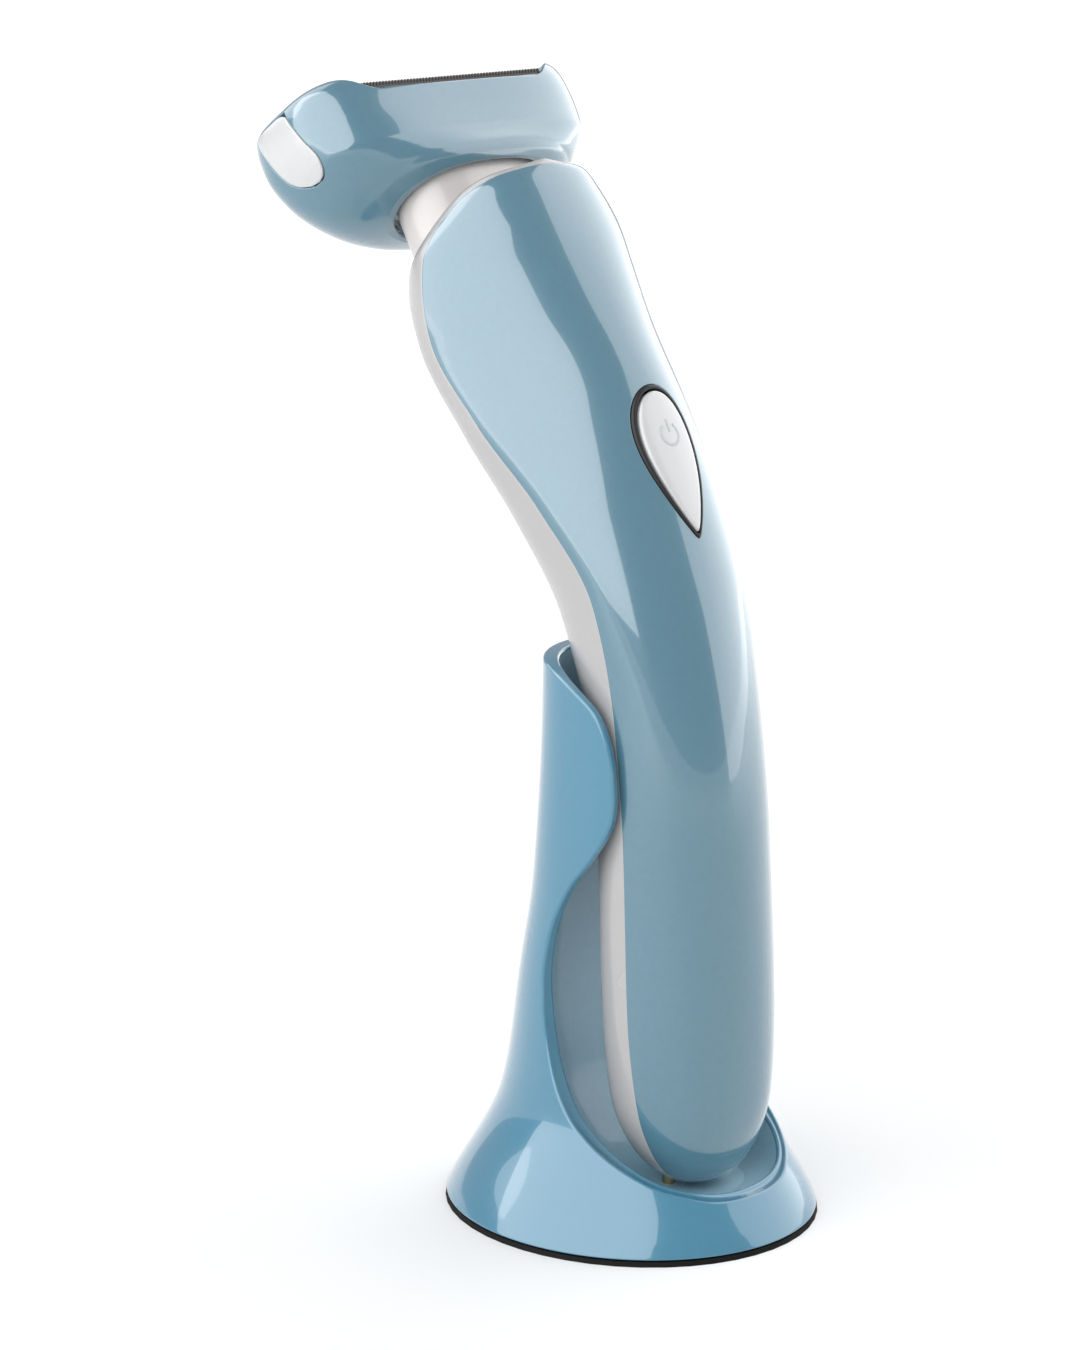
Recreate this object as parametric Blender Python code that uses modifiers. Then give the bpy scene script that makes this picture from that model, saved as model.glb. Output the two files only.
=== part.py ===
"""Ladies' electric body groomer standing in its charging stand.

Frame: metres, +Z up, origin at the centre of the stand's footprint on the surface it stands on.
-Y is the side with the power button, +Y is the side the shaving head leans to, X is the width.
Lengths below are written in millimetres and turned into metres by MM.
"""
import math

import bmesh
import bpy
import numpy as np
from mathutils import Matrix, Vector

MM = 0.001
GAP = 0.3                 # clearance between pieces that touch

# ---- driving dimensions (mm) -------------------------------------------------------------------
STAND_TOP = 91.0
FOOT_THICKNESS = 0.8
WELL_FLOOR = 6.4
REAR_WALL = 1.4           # rear shell
FRONT_WALL = 1.6          # front shell
BATTERY_RADIUS, BATTERY_LENGTH = 7.25, 50.0
BATTERY_Y, BATTERY_Z = -12.5, 20.0
MOTOR_RADIUS, MOTOR_LENGTH = 6.5, 20.0
CONTACT_X, CONTACT_Y = 3.2, -11.5
CUTTER_STROKE = 0.8       # the cutter swings this far each way
BUTTON_TRAVEL = 0.6
HEAD_TILT = math.radians(34.0)
HEAD_CENTRE = np.array([0.0, 50.0, 168.5])          # middle of the foil plane
HEAD_FRONT = np.array([0.0, -math.cos(HEAD_TILT), math.sin(HEAD_TILT)])
HEAD_UP = np.array([0.0, math.sin(HEAD_TILT), math.cos(HEAD_TILT)])
HEAD_TOP = 2.8            # height of the two cheeks above the foil plane
DRIVE_OFFSET = 4.5        # the neck and motor axis runs this far in front of the foil's middle
BUTTON_U = 0.775          # station of the power button's middle on the handle
BUTTON_LENGTH, BUTTON_WIDTH = 24.6, 11.6
NECK = (14.2, 7.8, 2.3)   # half-width, half-depth, superellipse power
UNDERSIDE_SLOPE = 0.28    # rise of the head's underside per millimetre towards its front
MOTOR_TOP = -46.0         # along the head's up axis
PIN_RADIUS = 0.6          # drive pin of the eccentric wheel
CUTTER_BASE = -6.6
BAR_TOP = -9.2            # top of the crossbar under the cassette
CUTTER_LENGTH, CUTTER_RADIUS = 31.0, 3.6
BAY = (21.9, 12.0)        # half-length and half-depth of the cassette's bay
BAY_FLOOR = -8.6
FRONT_LIP = -1.0          # height of the housing's front and rear edges between its cheeks
CASSETTE = (BAY[0] - GAP, BAY[1] - GAP)
COMB_HALF_LENGTH = 18.8
COMB_TOP = 0.7
COMB_FORWARD = 11.35      # distance of each comb from the head's middle plane
COMB_LEDGE = -4.2         # where the trimmer blades stand
LATCH_LEAN = 0.35         # how far the release button leans forward per millimetre down

# Handle stations from the bottom to the top rim:
# u, seam half-width, seam y, seam z, front y, front z, rear y, rear z, front power, rear power
HANDLE = np.array([
    [0.00, 0.0, -15.0, 7.5, -15.0, 7.5, -15.0, 7.5, 2.0, 2.0],
    [0.03, 4.6, -14.8, 8.2, -19.0, 8.4, -9.6, 8.2, 2.1, 2.0],
    [0.08, 9.1, -14.4, 12.0, -22.6, 13.0, -4.2, 12.0, 2.2, 2.1],
    [0.15, 12.6, -13.4, 21.0, -24.7, 22.0, -1.2, 21.0, 2.2, 2.2],
    [0.25, 14.0, -12.4, 37.0, -25.0, 37.0, -0.2, 37.0, 2.05, 2.2],
    [0.40, 14.2, -11.6, 62.0, -23.8, 62.0, 0.6, 61.0, 1.9, 2.2],
    [0.52, 14.2, -9.7, 81.0, -21.4, 81.0, 3.0, 78.0, 1.9, 2.2],
    [0.64, 15.2, -5.8, 100.0, -17.4, 99.0, 8.6, 95.0, 1.8, 2.2],
    [0.74, 17.6, 3.6, 114.0, -11.6, 115.0, 16.4, 109.0, 1.75, 2.2],
    [0.82, 19.4, 15.2, 125.6, -5.0, 128.5, 25.2, 121.0, 1.75, 2.1],
    [0.90, 19.9, 25.2, 138.2, 3.4, 141.5, 34.2, 132.9, 1.8, 2.0],
    [0.95, 19.0, 27.4, 149.6, 10.0, 151.7, 38.6, 142.0, 1.9, 2.0],
    [0.98, 13.8, 24.9, 158.9, 16.0, 159.6, 38.0, 148.8, 2.0, 2.0],
    [0.99, 9.8, 22.4, 162.0, 18.2, 162.2, 31.0, 155.2, 2.0, 2.0],
    [1.00, 0.0, 20.0, 164.2, 20.0, 164.2, 20.0, 164.2, 2.0, 2.0]])

# Stand outer sections: z, half-width, half-depth, centre y, superellipse power
STAND = np.array([
    [0.0, 28.3, 31.0, 0.0, 2.0],
    [1.5, 28.0, 30.7, 0.0, 2.0],
    [5.0, 26.4, 28.9, 0.0, 2.0],
    [9.0, 24.1, 26.4, 0.0, 2.0],
    [13.0, 21.9, 24.2, -0.3, 2.05],
    [18.0, 20.0, 22.3, -0.8, 2.1],
    [25.0, 19.1, 21.1, -1.8, 2.2],
    [38.0, 18.6, 19.6, -3.0, 2.3],
    [55.0, 17.3, 17.3, -4.0, 2.4],
    [83.0, 17.0, 15.8, -5.0, 2.5],
    [98.0, 17.0, 15.4, -5.0, 2.5]])

# Well in the stand: z, half-width, half-depth, centre y, superellipse power
WELL = np.array([
    [WELL_FLOOR, 9.0, 8.0, -12.0, 2.0],
    [WELL_FLOOR + 0.8, 11.6, 11.2, -11.8, 2.05],
    [9.0, 14.2, 14.4, -11.3, 2.1],
    [13.0, 15.8, 16.6, -10.6, 2.3],
    [20.0, 16.8, 18.6, -9.4, 2.6],
    [38.0, 16.6, 18.0, -7.0, 2.8],
    [55.0, 15.6, 15.8, -6.4, 2.6],
    [83.0, 15.5, 15.0, -6.6, 2.3],
    [100.0, 15.7, 15.2, -6.4, 2.3]])

# Side view of the stand's open front, (y, z) from the top rim down to the front lip
STAND_EDGE = [(14.0, 92.4), (7.0, 90.8), (3.0, 89.8), (-0.5, 88.6), (-4.7, 86.6), (-8.6, 83.8),
              (-10.9, 79.0), (-11.8, 73.5), (-11.8, 68.8), (-10.5, 65.0), (-7.2, 60.2), (-3.2, 55.4),
              (0.1, 49.4), (1.5, 43.0), (1.3, 37.4), (-0.1, 30.4), (-2.3, 24.4), (-5.4, 20.0),
              (-8.8, 17.2), (-12.4, 14.9), (-16.6, 12.6), (-20.0, 10.9), (-23.3, 9.6), (-27.0, 8.2),
              (-34.0, 7.4)]

# Head sections along HEAD_UP: w, half-length, half-depth, shift towards the front, power
HEAD = np.array([
    [-20.0, 16.6, 9.2, 4.5, 2.3],
    [-18.5, 20.5, 11.3, 3.4, 2.4],
    [-16.0, 23.6, 12.5, 2.1, 2.5],
    [-13.0, 25.6, 13.0, 1.2, 2.9],
    [-9.0, 27.4, 13.3, 0.5, 3.4],
    [-4.0, 28.2, 13.4, 0.0, 3.6],
    [0.0, 28.0, 13.3, 0.0, 3.6],
    [1.4, 27.6, 13.0, 0.0, 3.6],
    [2.3, 26.8, 12.3, 0.0, 3.6],
    [HEAD_TOP, 25.8, 11.4, 0.0, 3.6]])


# Base screw positions, x, y
STAND_SCREWS = [(-19.5, -8.0), (19.5, -8.0), (-17.0, 12.0), (17.0, 12.0)]


# ---- curves and sections -----------------------------------------------------------------------
def smooth(stations, at):
    """Values of the stations' columns at `at`, by a cubic that never overshoots a station."""
    x, y = stations[:, 0], stations[:, 1:]
    step = np.diff(x)[:, None]
    slope = np.diff(y, axis=0) / step
    tangent = np.zeros_like(y)
    before, after = slope[:-1], slope[1:]
    w1, w2 = 2 * step[1:] + step[:-1], step[1:] + 2 * step[:-1]
    same_way = before * after > 0
    safe_before, safe_after = np.where(same_way, before, 1.0), np.where(same_way, after, 1.0)
    tangent[1:-1] = np.where(same_way, (w1 + w2) / (w1 / safe_before + w2 / safe_after), 0.0)
    tangent[0], tangent[-1] = slope[0], slope[-1]
    i = int(np.clip(np.searchsorted(x, at, side="right") - 1, 0, len(x) - 2))
    h = x[i + 1] - x[i]
    s = (at - x[i]) / h
    return ((1 + 2 * s) * (1 - s) ** 2 * y[i] + s * (1 - s) ** 2 * h * tangent[i]
            + s * s * (3 - 2 * s) * y[i + 1] + s * s * (s - 1) * h * tangent[i + 1])


def power(value, exponent):
    return math.copysign(abs(value) ** exponent, value)


def superellipse(half_width, half_depth, exponent, count):
    """Points (across, along) of a closed superellipse, counter-clockwise."""
    points = []
    for k in range(count):
        a = 2 * math.pi * k / count
        points.append((half_width * power(math.cos(a), 2 / exponent),
                       half_depth * power(math.sin(a), 2 / exponent)))
    return points


def handle_arc(u, count, front, start, grow=0.0):
    """One cross arc of the handle from the +X seam to the -X seam, over its front or its rear.

    It starts and ends `start` mm in front of the seam, and stands `grow` mm proud.
    """
    half, seam_y, seam_z, front_y, front_z, rear_y, rear_z, front_p, rear_p = smooth(HANDLE, u)
    top_y, top_z, exponent = (front_y, front_z, front_p) if front else (rear_y, rear_z, rear_p)
    reach = math.hypot(top_y - seam_y, top_z - seam_z)
    stretch = 1 + grow / reach
    ratio = min(abs(start) / (reach * stretch), 0.6)
    first = math.asin(ratio ** (exponent / 2)) * math.copysign(1, start if front else -start)
    arc = []
    for k in range(count + 1):
        a = first + (math.pi - 2 * first) * k / count
        across = power(math.cos(a), 2 / exponent)
        rise = power(math.sin(a), 2 / exponent) * stretch
        arc.append(Vector(((half + grow) * across, seam_y + (top_y - seam_y) * rise,
                           seam_z + (top_z - seam_z) * rise)) * MM)
    return arc


def head_point(x, forward, up):
    """Point given in the head's own axes: along its length, towards its front, towards the foil."""
    p = HEAD_CENTRE + np.array([x, 0, 0]) + forward * HEAD_FRONT + up * HEAD_UP
    return Vector(p) * MM


HEAD_ROTATION = Matrix((Vector((1, 0, 0)), Vector(-HEAD_FRONT), Vector(HEAD_UP))).transposed()


def head_matrix(x, forward, up):
    """Places a piece built around its own Z so that its Z runs along the head's up axis."""
    return Matrix.Translation(head_point(x, forward, up)) @ HEAD_ROTATION.to_4x4()


# ---- objects -----------------------------------------------------------------------------------
def clear_scene():
    for obj in list(bpy.data.objects):
        bpy.data.objects.remove(obj)


clear_scene()
PARTS = bpy.data.collections.new("body_groomer")
CUTTERS = bpy.data.collections.new("cutters")
for collection in (PARTS, CUTTERS):
    bpy.context.scene.collection.children.link(collection)


def material(name, colour, roughness, metallic=0.0):
    mat = bpy.data.materials.new(name)
    mat.use_nodes = True
    shader = mat.node_tree.nodes["Principled BSDF"]
    shader.inputs["Base Color"].default_value = (*colour, 1)
    shader.inputs["Roughness"].default_value = roughness
    shader.inputs["Metallic"].default_value = metallic
    return mat


BLUE = (0.22, 0.38, 0.48)
STAND_BLUE = (0.13, 0.36, 0.5)
WHITE = (0.78, 0.77, 0.76)
BLACK = (0.02, 0.02, 0.022)
STEEL = (0.6, 0.6, 0.6)
BRASS = (0.75, 0.58, 0.25)
GREEN = (0.02, 0.16, 0.07)


def finish(obj, colour, roughness, metallic=0.0, cutter=False):
    """Puts an object in its collection, with a material of its own."""
    for collection in list(obj.users_collection):
        collection.objects.unlink(obj)
    (CUTTERS if cutter else PARTS).objects.link(obj)
    if cutter:
        obj.hide_render = True
        obj.display_type = "WIRE"
        return obj
    obj.data.materials.clear()
    obj.data.materials.append(material(obj.name + "_finish", colour, roughness, metallic))
    obj.data.shade_smooth()
    obj.data.set_sharp_from_angle(angle=math.radians(35))
    return obj


def mesh_object(name, bm):
    bmesh.ops.recalc_face_normals(bm, faces=bm.faces)
    mesh = bpy.data.meshes.new(name)
    bm.to_mesh(mesh)
    bm.free()
    return bpy.data.objects.new(name, mesh)


def loft(name, rings):
    """Closed solid through rings of equal length, capped at both ends."""
    bm = bmesh.new()
    rows = [[bm.verts.new(p) for p in ring] for ring in rings]
    count = len(rows[0])
    for low, high in zip(rows, rows[1:]):
        for k in range(count):
            bm.faces.new((low[k], low[(k + 1) % count], high[(k + 1) % count], high[k]))
    bm.faces.new(list(reversed(rows[0])))
    bm.faces.new(rows[-1])
    return mesh_object(name, bm)


def open_sheet(name, rows):
    """Open surface through rows of points; rows that shrink to a point are merged."""
    bm = bmesh.new()
    grid = [[bm.verts.new(p) for p in row] for row in rows]
    for low, high in zip(grid, grid[1:]):
        for k in range(len(low) - 1):
            bm.faces.new((low[k], low[k + 1], high[k + 1], high[k]))
    bmesh.ops.remove_doubles(bm, verts=bm.verts, dist=1e-6)
    bmesh.ops.dissolve_degenerate(bm, edges=bm.edges, dist=1e-7)
    mesh = bpy.data.meshes.new(name)
    bm.to_mesh(mesh)
    bm.free()
    return bpy.data.objects.new(name, mesh)


def prism(name, outline, depth, centre, rotation):
    """Closed prism over an outline of (a, b) mm points in the plane of `rotation`'s X and Y axes."""
    bm = bmesh.new()
    half = depth * MM / 2
    rings = [[bm.verts.new((a * MM, b * MM, z)) for a, b in outline] for z in (-half, half)]
    count = len(outline)
    for k in range(count):
        bm.faces.new((rings[0][k], rings[0][(k + 1) % count], rings[1][(k + 1) % count], rings[1][k]))
    bm.faces.new(rings[0])
    bm.faces.new(rings[1])
    obj = mesh_object(name, bm)
    obj.matrix_world = Matrix.Translation(centre) @ rotation.to_4x4()
    return obj


def box(name, size, matrix):
    bm = bmesh.new()
    bmesh.ops.create_cube(bm, size=1.0)
    bmesh.ops.scale(bm, vec=Vector(size) * MM, verts=bm.verts)
    obj = mesh_object(name, bm)
    obj.matrix_world = matrix
    return obj


def cylinder(name, radius, height, matrix, sides=24, top_radius=None):
    """Cylinder or cone standing on the matrix' XY plane, along its Z."""
    bm = bmesh.new()
    bmesh.ops.create_cone(bm, cap_ends=True, segments=sides, radius1=radius * MM,
                          radius2=(radius if top_radius is None else top_radius) * MM,
                          depth=height * MM)
    bmesh.ops.translate(bm, vec=(0, 0, height * MM / 2), verts=bm.verts)
    obj = mesh_object(name, bm)
    obj.matrix_world = matrix
    return obj


def place(x, y, z):
    return Matrix.Translation(Vector((x, y, z)) * MM)


def solidify(obj, thickness, offset=-1.0):
    mod = obj.modifiers.new("wall", "SOLIDIFY")
    mod.thickness = thickness * MM
    mod.offset = offset
    mod.use_even_offset = True
    return obj


def bevel(obj, width, segments=2, angle=50):
    mod = obj.modifiers.new("edges", "BEVEL")
    mod.width = width * MM
    mod.segments = segments
    mod.limit_method = "ANGLE"
    mod.angle_limit = math.radians(angle)
    return obj


def boolean(obj, tool, operation="DIFFERENCE"):
    mod = obj.modifiers.new(operation.lower(), "BOOLEAN")
    mod.operation = operation
    mod.solver = "EXACT"
    mod.object = tool
    return obj


def cut(obj, *tools):
    for tool in tools:
        if tool.name not in CUTTERS.objects:
            finish(tool, BLACK, 0.5, cutter=True)
        boolean(obj, tool)
    return obj


def join(obj, *tools):
    for tool in tools:
        finish(tool, BLACK, 0.5, cutter=True)
        boolean(obj, tool, "UNION")
    return obj


def tube(name, points, radius, resolution=2):
    """Round wire through points (metres), with filled ends."""
    curve = bpy.data.curves.new(name, "CURVE")
    curve.dimensions = "3D"
    curve.bevel_depth = radius * MM
    curve.bevel_resolution = resolution
    curve.use_fill_caps = True
    spline = curve.splines.new("POLY")
    spline.points.add(len(points) - 1)
    for target, p in zip(spline.points, points):
        target.co = (*p, 1)
    return bpy.data.objects.new(name, curve)


def finish_curve(obj, colour, roughness, metallic=0.0):
    for collection in list(obj.users_collection):
        collection.objects.unlink(obj)
    PARTS.objects.link(obj)
    obj.data.materials.append(material(obj.name + "_finish", colour, roughness, metallic))
    return obj


def spring(name, radius, wire, turns, start, end, points_per_turn=8):
    """Coil spring between two points (metres)."""
    axis = end - start
    side = axis.orthogonal().normalized() * radius * MM
    other = axis.normalized().cross(side)
    count = int(turns * points_per_turn) + 1
    points = []
    for k in range(count):
        a = 2 * math.pi * k / points_per_turn
        points.append(start + axis * (k / (count - 1)) + side * math.cos(a) + other * math.sin(a))
    return finish_curve(tube(name, points, wire, 1), STEEL, 0.35, 1.0)


# ---- stand -------------------------------------------------------------------------------------
def section_ring(stations, z, count, grow=0.0):
    half_x, half_y, centre_y, exponent = smooth(stations, z)
    return [Vector((x, centre_y + y, z)) * MM
            for x, y in superellipse(half_x + grow, half_y + grow, exponent, count)]


def stand_loft(name, stations, heights, count, grow=0.0):
    return loft(name, [section_ring(stations, z, count, grow) for z in heights])


YZ_PLANE = Matrix((Vector((0, 1, 0)), Vector((0, 0, 1)), Vector((1, 0, 0)))).transposed()


def make_stand():
    shell = stand_loft("stand_shell", STAND,
                       [FOOT_THICKNESS + GAP, 3, 5, 7, 9, 11, 13, 15.5, 18, 22, 28, 36, 46, 58,
                        72, STAND_TOP], 48)
    well = stand_loft("well_cutter", WELL,
                      [WELL_FLOOR, WELL_FLOOR + 0.4, WELL_FLOOR + 0.9, 8.2, 10, 13, 18, 25, 35,
                       47, 60, 74, 100], 40)
    front_open = prism("front_cutter",
                       STAND_EDGE + [(-60.0, 7.4), (-60.0, 120.0), (14.0, 120.0)],
                       80, Vector((0, 0, 0)), YZ_PLANE)
    # hollow under the well floor and behind the well, for the ballast, board and socket
    under = stand_loft("under_cutter", STAND, [0.0, 2.5, 4.6], 32, grow=-2.4)
    back_room = box("back_room_cutter", (22, 8.5, 14), place(0, 14.6, 7.5))
    socket_hole = cylinder("socket_hole_cutter", 3.9, 14,
                           Matrix.Translation(Vector((0, 15.5, 9.5)) * MM)
                           @ Matrix.Rotation(math.radians(-90), 4, "X"))
    cut(shell, well, front_open, under, back_room, socket_hole)
    for side, x in (("left", -CONTACT_X), ("right", CONTACT_X)):
        cut(shell, cylinder("pin_hole_" + side, 1.4, 6, place(x, CONTACT_Y, 3)))
    screw_holes = [cylinder("screw_hole_%d" % (k + 1), 1.4 + GAP, 7.0, place(x, y, 1.0), sides=12)
                   for k, (x, y) in enumerate(STAND_SCREWS)]
    cut(shell, *screw_holes)
    finish(shell, STAND_BLUE, 0.15)

    foot = stand_loft("rubber_foot", STAND, [0.0, FOOT_THICKNESS], 48)
    finish(foot, BLACK, 0.8)
    plate = stand_loft("base_plate", STAND, [FOOT_THICKNESS + GAP, 2.6], 32, grow=-2.4 - GAP)
    cut(plate, *screw_holes)
    finish(plate, BLACK, 0.6)


make_stand()


def stand_internals():
    """Pieces inside the stand: weight, board, sprung charging pins, power inlet and screws."""
    ballast = stand_loft("ballast_plate", STAND, [2.9, 4.3], 32, grow=-3.4)
    cut(ballast, box("ballast_slot_cutter", (25, 30, 4), place(0, 18.0, 3.6)),
        box("ballast_pin_slot_cutter", (14, 6, 4), place(0, CONTACT_Y, 3.6)))
    for k, (x, y) in enumerate(STAND_SCREWS):
        cut(ballast, cylinder("ballast_hole_%d" % k, 1.9, 4, place(x, y, 2)))
    finish(ballast, STEEL, 0.5, 1.0)
    board = box("charging_board", (20, 1.2, 9), place(0, 11.5, 7.6))
    finish(board, GREEN, 0.5)
    inlet = cylinder("power_inlet", 3.5, 9.5,
                     Matrix.Translation(Vector((0, 12.4, 9.5)) * MM)
                     @ Matrix.Rotation(math.radians(-90), 4, "X"), sides=20)
    cut(inlet, cylinder("inlet_bore_cutter", 2.3, 9,
                        Matrix.Translation(Vector((0, 14.4, 9.5)) * MM)
                        @ Matrix.Rotation(math.radians(-90), 4, "X"), sides=20))
    finish(inlet, BLACK, 0.5)
    inlet_pin = cylinder("inlet_pin", 0.6, 6,
                         Matrix.Translation(Vector((0, 14.4 + GAP, 9.5)) * MM)
                         @ Matrix.Rotation(math.radians(-90), 4, "X"), sides=10)
    finish(inlet_pin, BRASS, 0.3, 1.0)
    for side, x in (("left", -CONTACT_X), ("right", CONTACT_X)):
        pin = cylinder("charge_pin_" + side, 1.0, 4.2, place(x, CONTACT_Y, 3.9), sides=14)
        finish(bevel(pin, 0.3), BRASS, 0.3, 1.0)
    for k, (x, y) in enumerate(STAND_SCREWS):
        screw = cylinder("base_screw_%d" % (k + 1), 1.4, 5.8, place(x, y, 1.9), sides=12)
        finish(screw, STEEL, 0.4, 1.0)


stand_internals()


# ---- handle ------------------------------------------------------------------------------------
def spread(values, *extra):
    return sorted(set(round(v, 5) for v in list(values) + list(extra)))


HANDLE_ROWS = spread([0.002, 0.008, 0.017, 0.03, 0.05, 0.08, 0.12, 0.18, 0.26, 0.36, 0.46, 0.54,
                      0.61, 0.67, 0.72, 0.77, 0.82, 0.87, 0.91, 0.94, 0.96, 0.98, 0.985,
                      0.99, 0.995, 0.9985])


def handle_sheet(name, front, count, start, rows=HANDLE_ROWS):
    """Open outer surface of the handle's front or rear half."""
    arcs = [handle_arc(u, count, front, start) for u in rows]
    if front:
        arcs = [list(reversed(arc)) for arc in arcs]     # keeps the faces pointing out
    return open_sheet(name, arcs)


def handle_half(name, front, start, grow=2.0):
    """Closed solid of one half of the handle up to the seam, standing proud of it all round."""
    rings = [handle_arc(u, 16, front, start, grow) for u in HANDLE_ROWS]
    below, above = Vector((0, 0, -2 * grow)) * MM, Vector((0, 1.3 * grow, 1.6 * grow)) * MM
    rings.insert(0, [p + below for p in rings[0]])
    rings.append([p + above for p in rings[-1]])
    return loft(name, rings)


def button_frame():
    """Point on the front line at the button's middle, and axes: across, up the line, outwards."""
    below, point, above = [handle_arc(BUTTON_U + step, 2, True, 0.0)[1] for step in (-0.03, 0, 0.03)]
    up = (above - below).normalized()
    across = Vector((1, 0, 0))
    out = across.cross(up).normalized()
    return point, Matrix((across, up, out)).transposed()


def teardrop(grow, count=28):
    """Teardrop outline, round at the top and pointed at the bottom, about its own middle."""
    outline = []
    for k in range(count):
        a = 2 * math.pi * (k + 0.5) / count
        along = math.cos(a)                       # 1 at the top, -1 at the tip
        fullness = 1.28 * math.sqrt((1.1 + along) / 2.1)  # narrows towards the tip
        outline.append((math.sin(a) * fullness * (BUTTON_WIDTH / 2 + grow),
                        along * (BUTTON_LENGTH / 2 + grow)))
    return outline


def make_handle_shells():
    """Shells that meet along the seam; the rear one turns over the top rim and ends in front of it."""
    front = solidify(handle_sheet("front_shell", True, 16, 0.7), FRONT_WALL)
    point, axes = button_frame()
    cut(front, handle_half("seam_cutter", False, 0.6),
        prism("button_hole_cutter", teardrop(GAP), 12, point, axes))
    finish(front, BLUE, 0.12)

    rear = solidify(handle_sheet("rear_shell", False, 16, 0.15), REAR_WALL)
    cut(rear, handle_half("rim_cutter", True, 0.3))
    cut(rear, neck_loft("neck_hole_cutter", GAP, -12.0, -34.0))
    for side, x in (("left", -CONTACT_X), ("right", CONTACT_X)):
        cut(rear, cylinder("contact_hole_" + side, 1.5 + GAP, 8, place(x, CONTACT_Y, 6), sides=16))
    finish(rear, WHITE, 0.2)


def make_power_button():
    """Curved bezel and cap, both cut out of a slab that follows the handle's front."""
    point, axes = button_frame()
    rows = [0.64 + 0.03 * k for k in range(10)]
    moulds = (("button_bezel", 0.0, -0.75, 0.25), ("power_button", -1.05, None, 0.5))
    for name, outer, inner, proud in moulds:
        slab = handle_sheet(name, True, 20, 5.0, rows)
        solidify(slab, 1.6 + proud, -1.0 + 2 * proud / (1.6 + proud))
        edge = prism(name + "_outline", teardrop(outer), 14, point, axes)
        finish(edge, BLACK, 0.5, cutter=True)
        boolean(slab, edge, "INTERSECT")
        if inner is not None:
            cut(slab, prism(name + "_window", teardrop(inner), 14, point, axes))
        finish(slab, BLACK if inner else WHITE, 0.25)


def underside_slope(up):
    """Rise of the head's lower sections towards the front, where the underside tips up."""
    return UNDERSIDE_SLOPE * min(max((-9.0 - up) / 9.0, 0.0), 1.0)


def neck_ring(up, grow, slope=0.0, count=36):
    half_x, half_y, exponent = NECK
    return [head_point(x, DRIVE_OFFSET - y, up + slope * (DRIVE_OFFSET - y + 4.0))
            for x, y in superellipse(half_x + grow, half_y + grow, exponent, count)]


def neck_loft(name, grow, top, bottom, slope=0.0):
    return loft(name, [neck_ring(bottom, grow), neck_ring(top, grow, slope)])


def make_neck():
    sleeve = loft("neck_collar", [neck_ring(w, g, slope) for w, g, slope in
                                  ((-31.0, 0.0, 0.0), (-25.0, 0.0, 0.0), (-20.0, -0.2, UNDERSIDE_SLOPE),
                                   (-17.2, -0.4, UNDERSIDE_SLOPE))])
    cut(sleeve, neck_loft("neck_bore_cutter", -1.5, -19.0, -32.0, UNDERSIDE_SLOPE),
        cylinder("drive_hole_cutter", 5.2, 12, head_matrix(0, DRIVE_OFFSET, -21)))
    finish(sleeve, WHITE, 0.2)
    seal = cylinder("neck_seal", 4.9, 2.2, head_matrix(0, DRIVE_OFFSET, -16.9), sides=28)
    cut(seal, cylinder("seal_bore_cutter", 3.3, 8, head_matrix(0, DRIVE_OFFSET, -20), sides=20))
    finish(seal, BLACK, 0.8)


make_handle_shells()
make_power_button()
make_neck()


# ---- inside the handle -------------------------------------------------------------------------
def turned(name, radius, height, matrix, colour, roughness, metallic=0.0, sides=20, edge=0.0):
    piece = cylinder(name, radius, height, matrix, sides=sides)
    if edge:
        bevel(piece, edge)
    return finish(piece, colour, roughness, metallic)


def make_battery():
    """One round cell upright in a half-round cradle, with a contact tab at each end."""
    turned("battery_cell", BATTERY_RADIUS, BATTERY_LENGTH, place(0, BATTERY_Y, BATTERY_Z), BLUE, 0.4,
           sides=28, edge=0.5)
    top = BATTERY_Z + BATTERY_LENGTH
    turned("battery_tab_top", 4.0, 0.5, place(0, BATTERY_Y, top + GAP), STEEL, 0.3, 1.0)
    turned("battery_tab_bottom", 4.0, 0.5, place(0, BATTERY_Y, BATTERY_Z - GAP - 0.5), STEEL, 0.3, 1.0)
    outer = BATTERY_RADIUS + GAP + 1.0
    cradle = cylinder("battery_cradle", outer, BATTERY_LENGTH + 5.4,
                      place(0, BATTERY_Y, BATTERY_Z - 2.7), sides=28)
    cut(cradle, cylinder("cradle_bore_cutter", BATTERY_RADIUS + GAP, BATTERY_LENGTH + 2.2,
                         place(0, BATTERY_Y, BATTERY_Z - 1.1), sides=28),
        box("cradle_front_cutter", (30, 20, 80), place(0, BATTERY_Y - 9.0, BATTERY_Z + 25)))
    finish(cradle, WHITE, 0.6)


def make_control_board():
    """Board parallel to the button, with the switch that the button presses."""
    point, axes = button_frame()
    frame = Matrix.Translation(point) @ axes.to_4x4()
    switch_top = -1.6 - BUTTON_TRAVEL - 2 * GAP
    body = box("tact_switch", (6, 6, 3.4), frame @ place(0, 0, switch_top - 1.7 - GAP))
    finish(bevel(body, 0.3), BLACK, 0.5)
    board = box("control_board", (15, 40, 1.0), frame @ place(0, -4.0, switch_top - 3.4 - 2 * GAP - 0.5))
    finish(board, GREEN, 0.5)


def make_contacts():
    for side, x in (("left", -CONTACT_X), ("right", CONTACT_X)):
        turned("charge_contact_" + side, 1.5, 5.0, place(x, CONTACT_Y, 9.0), BRASS, 0.3, 1.0, sides=14)


def drive_frame(up, shift=0.0):
    return head_matrix(shift, DRIVE_OFFSET, up)


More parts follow.
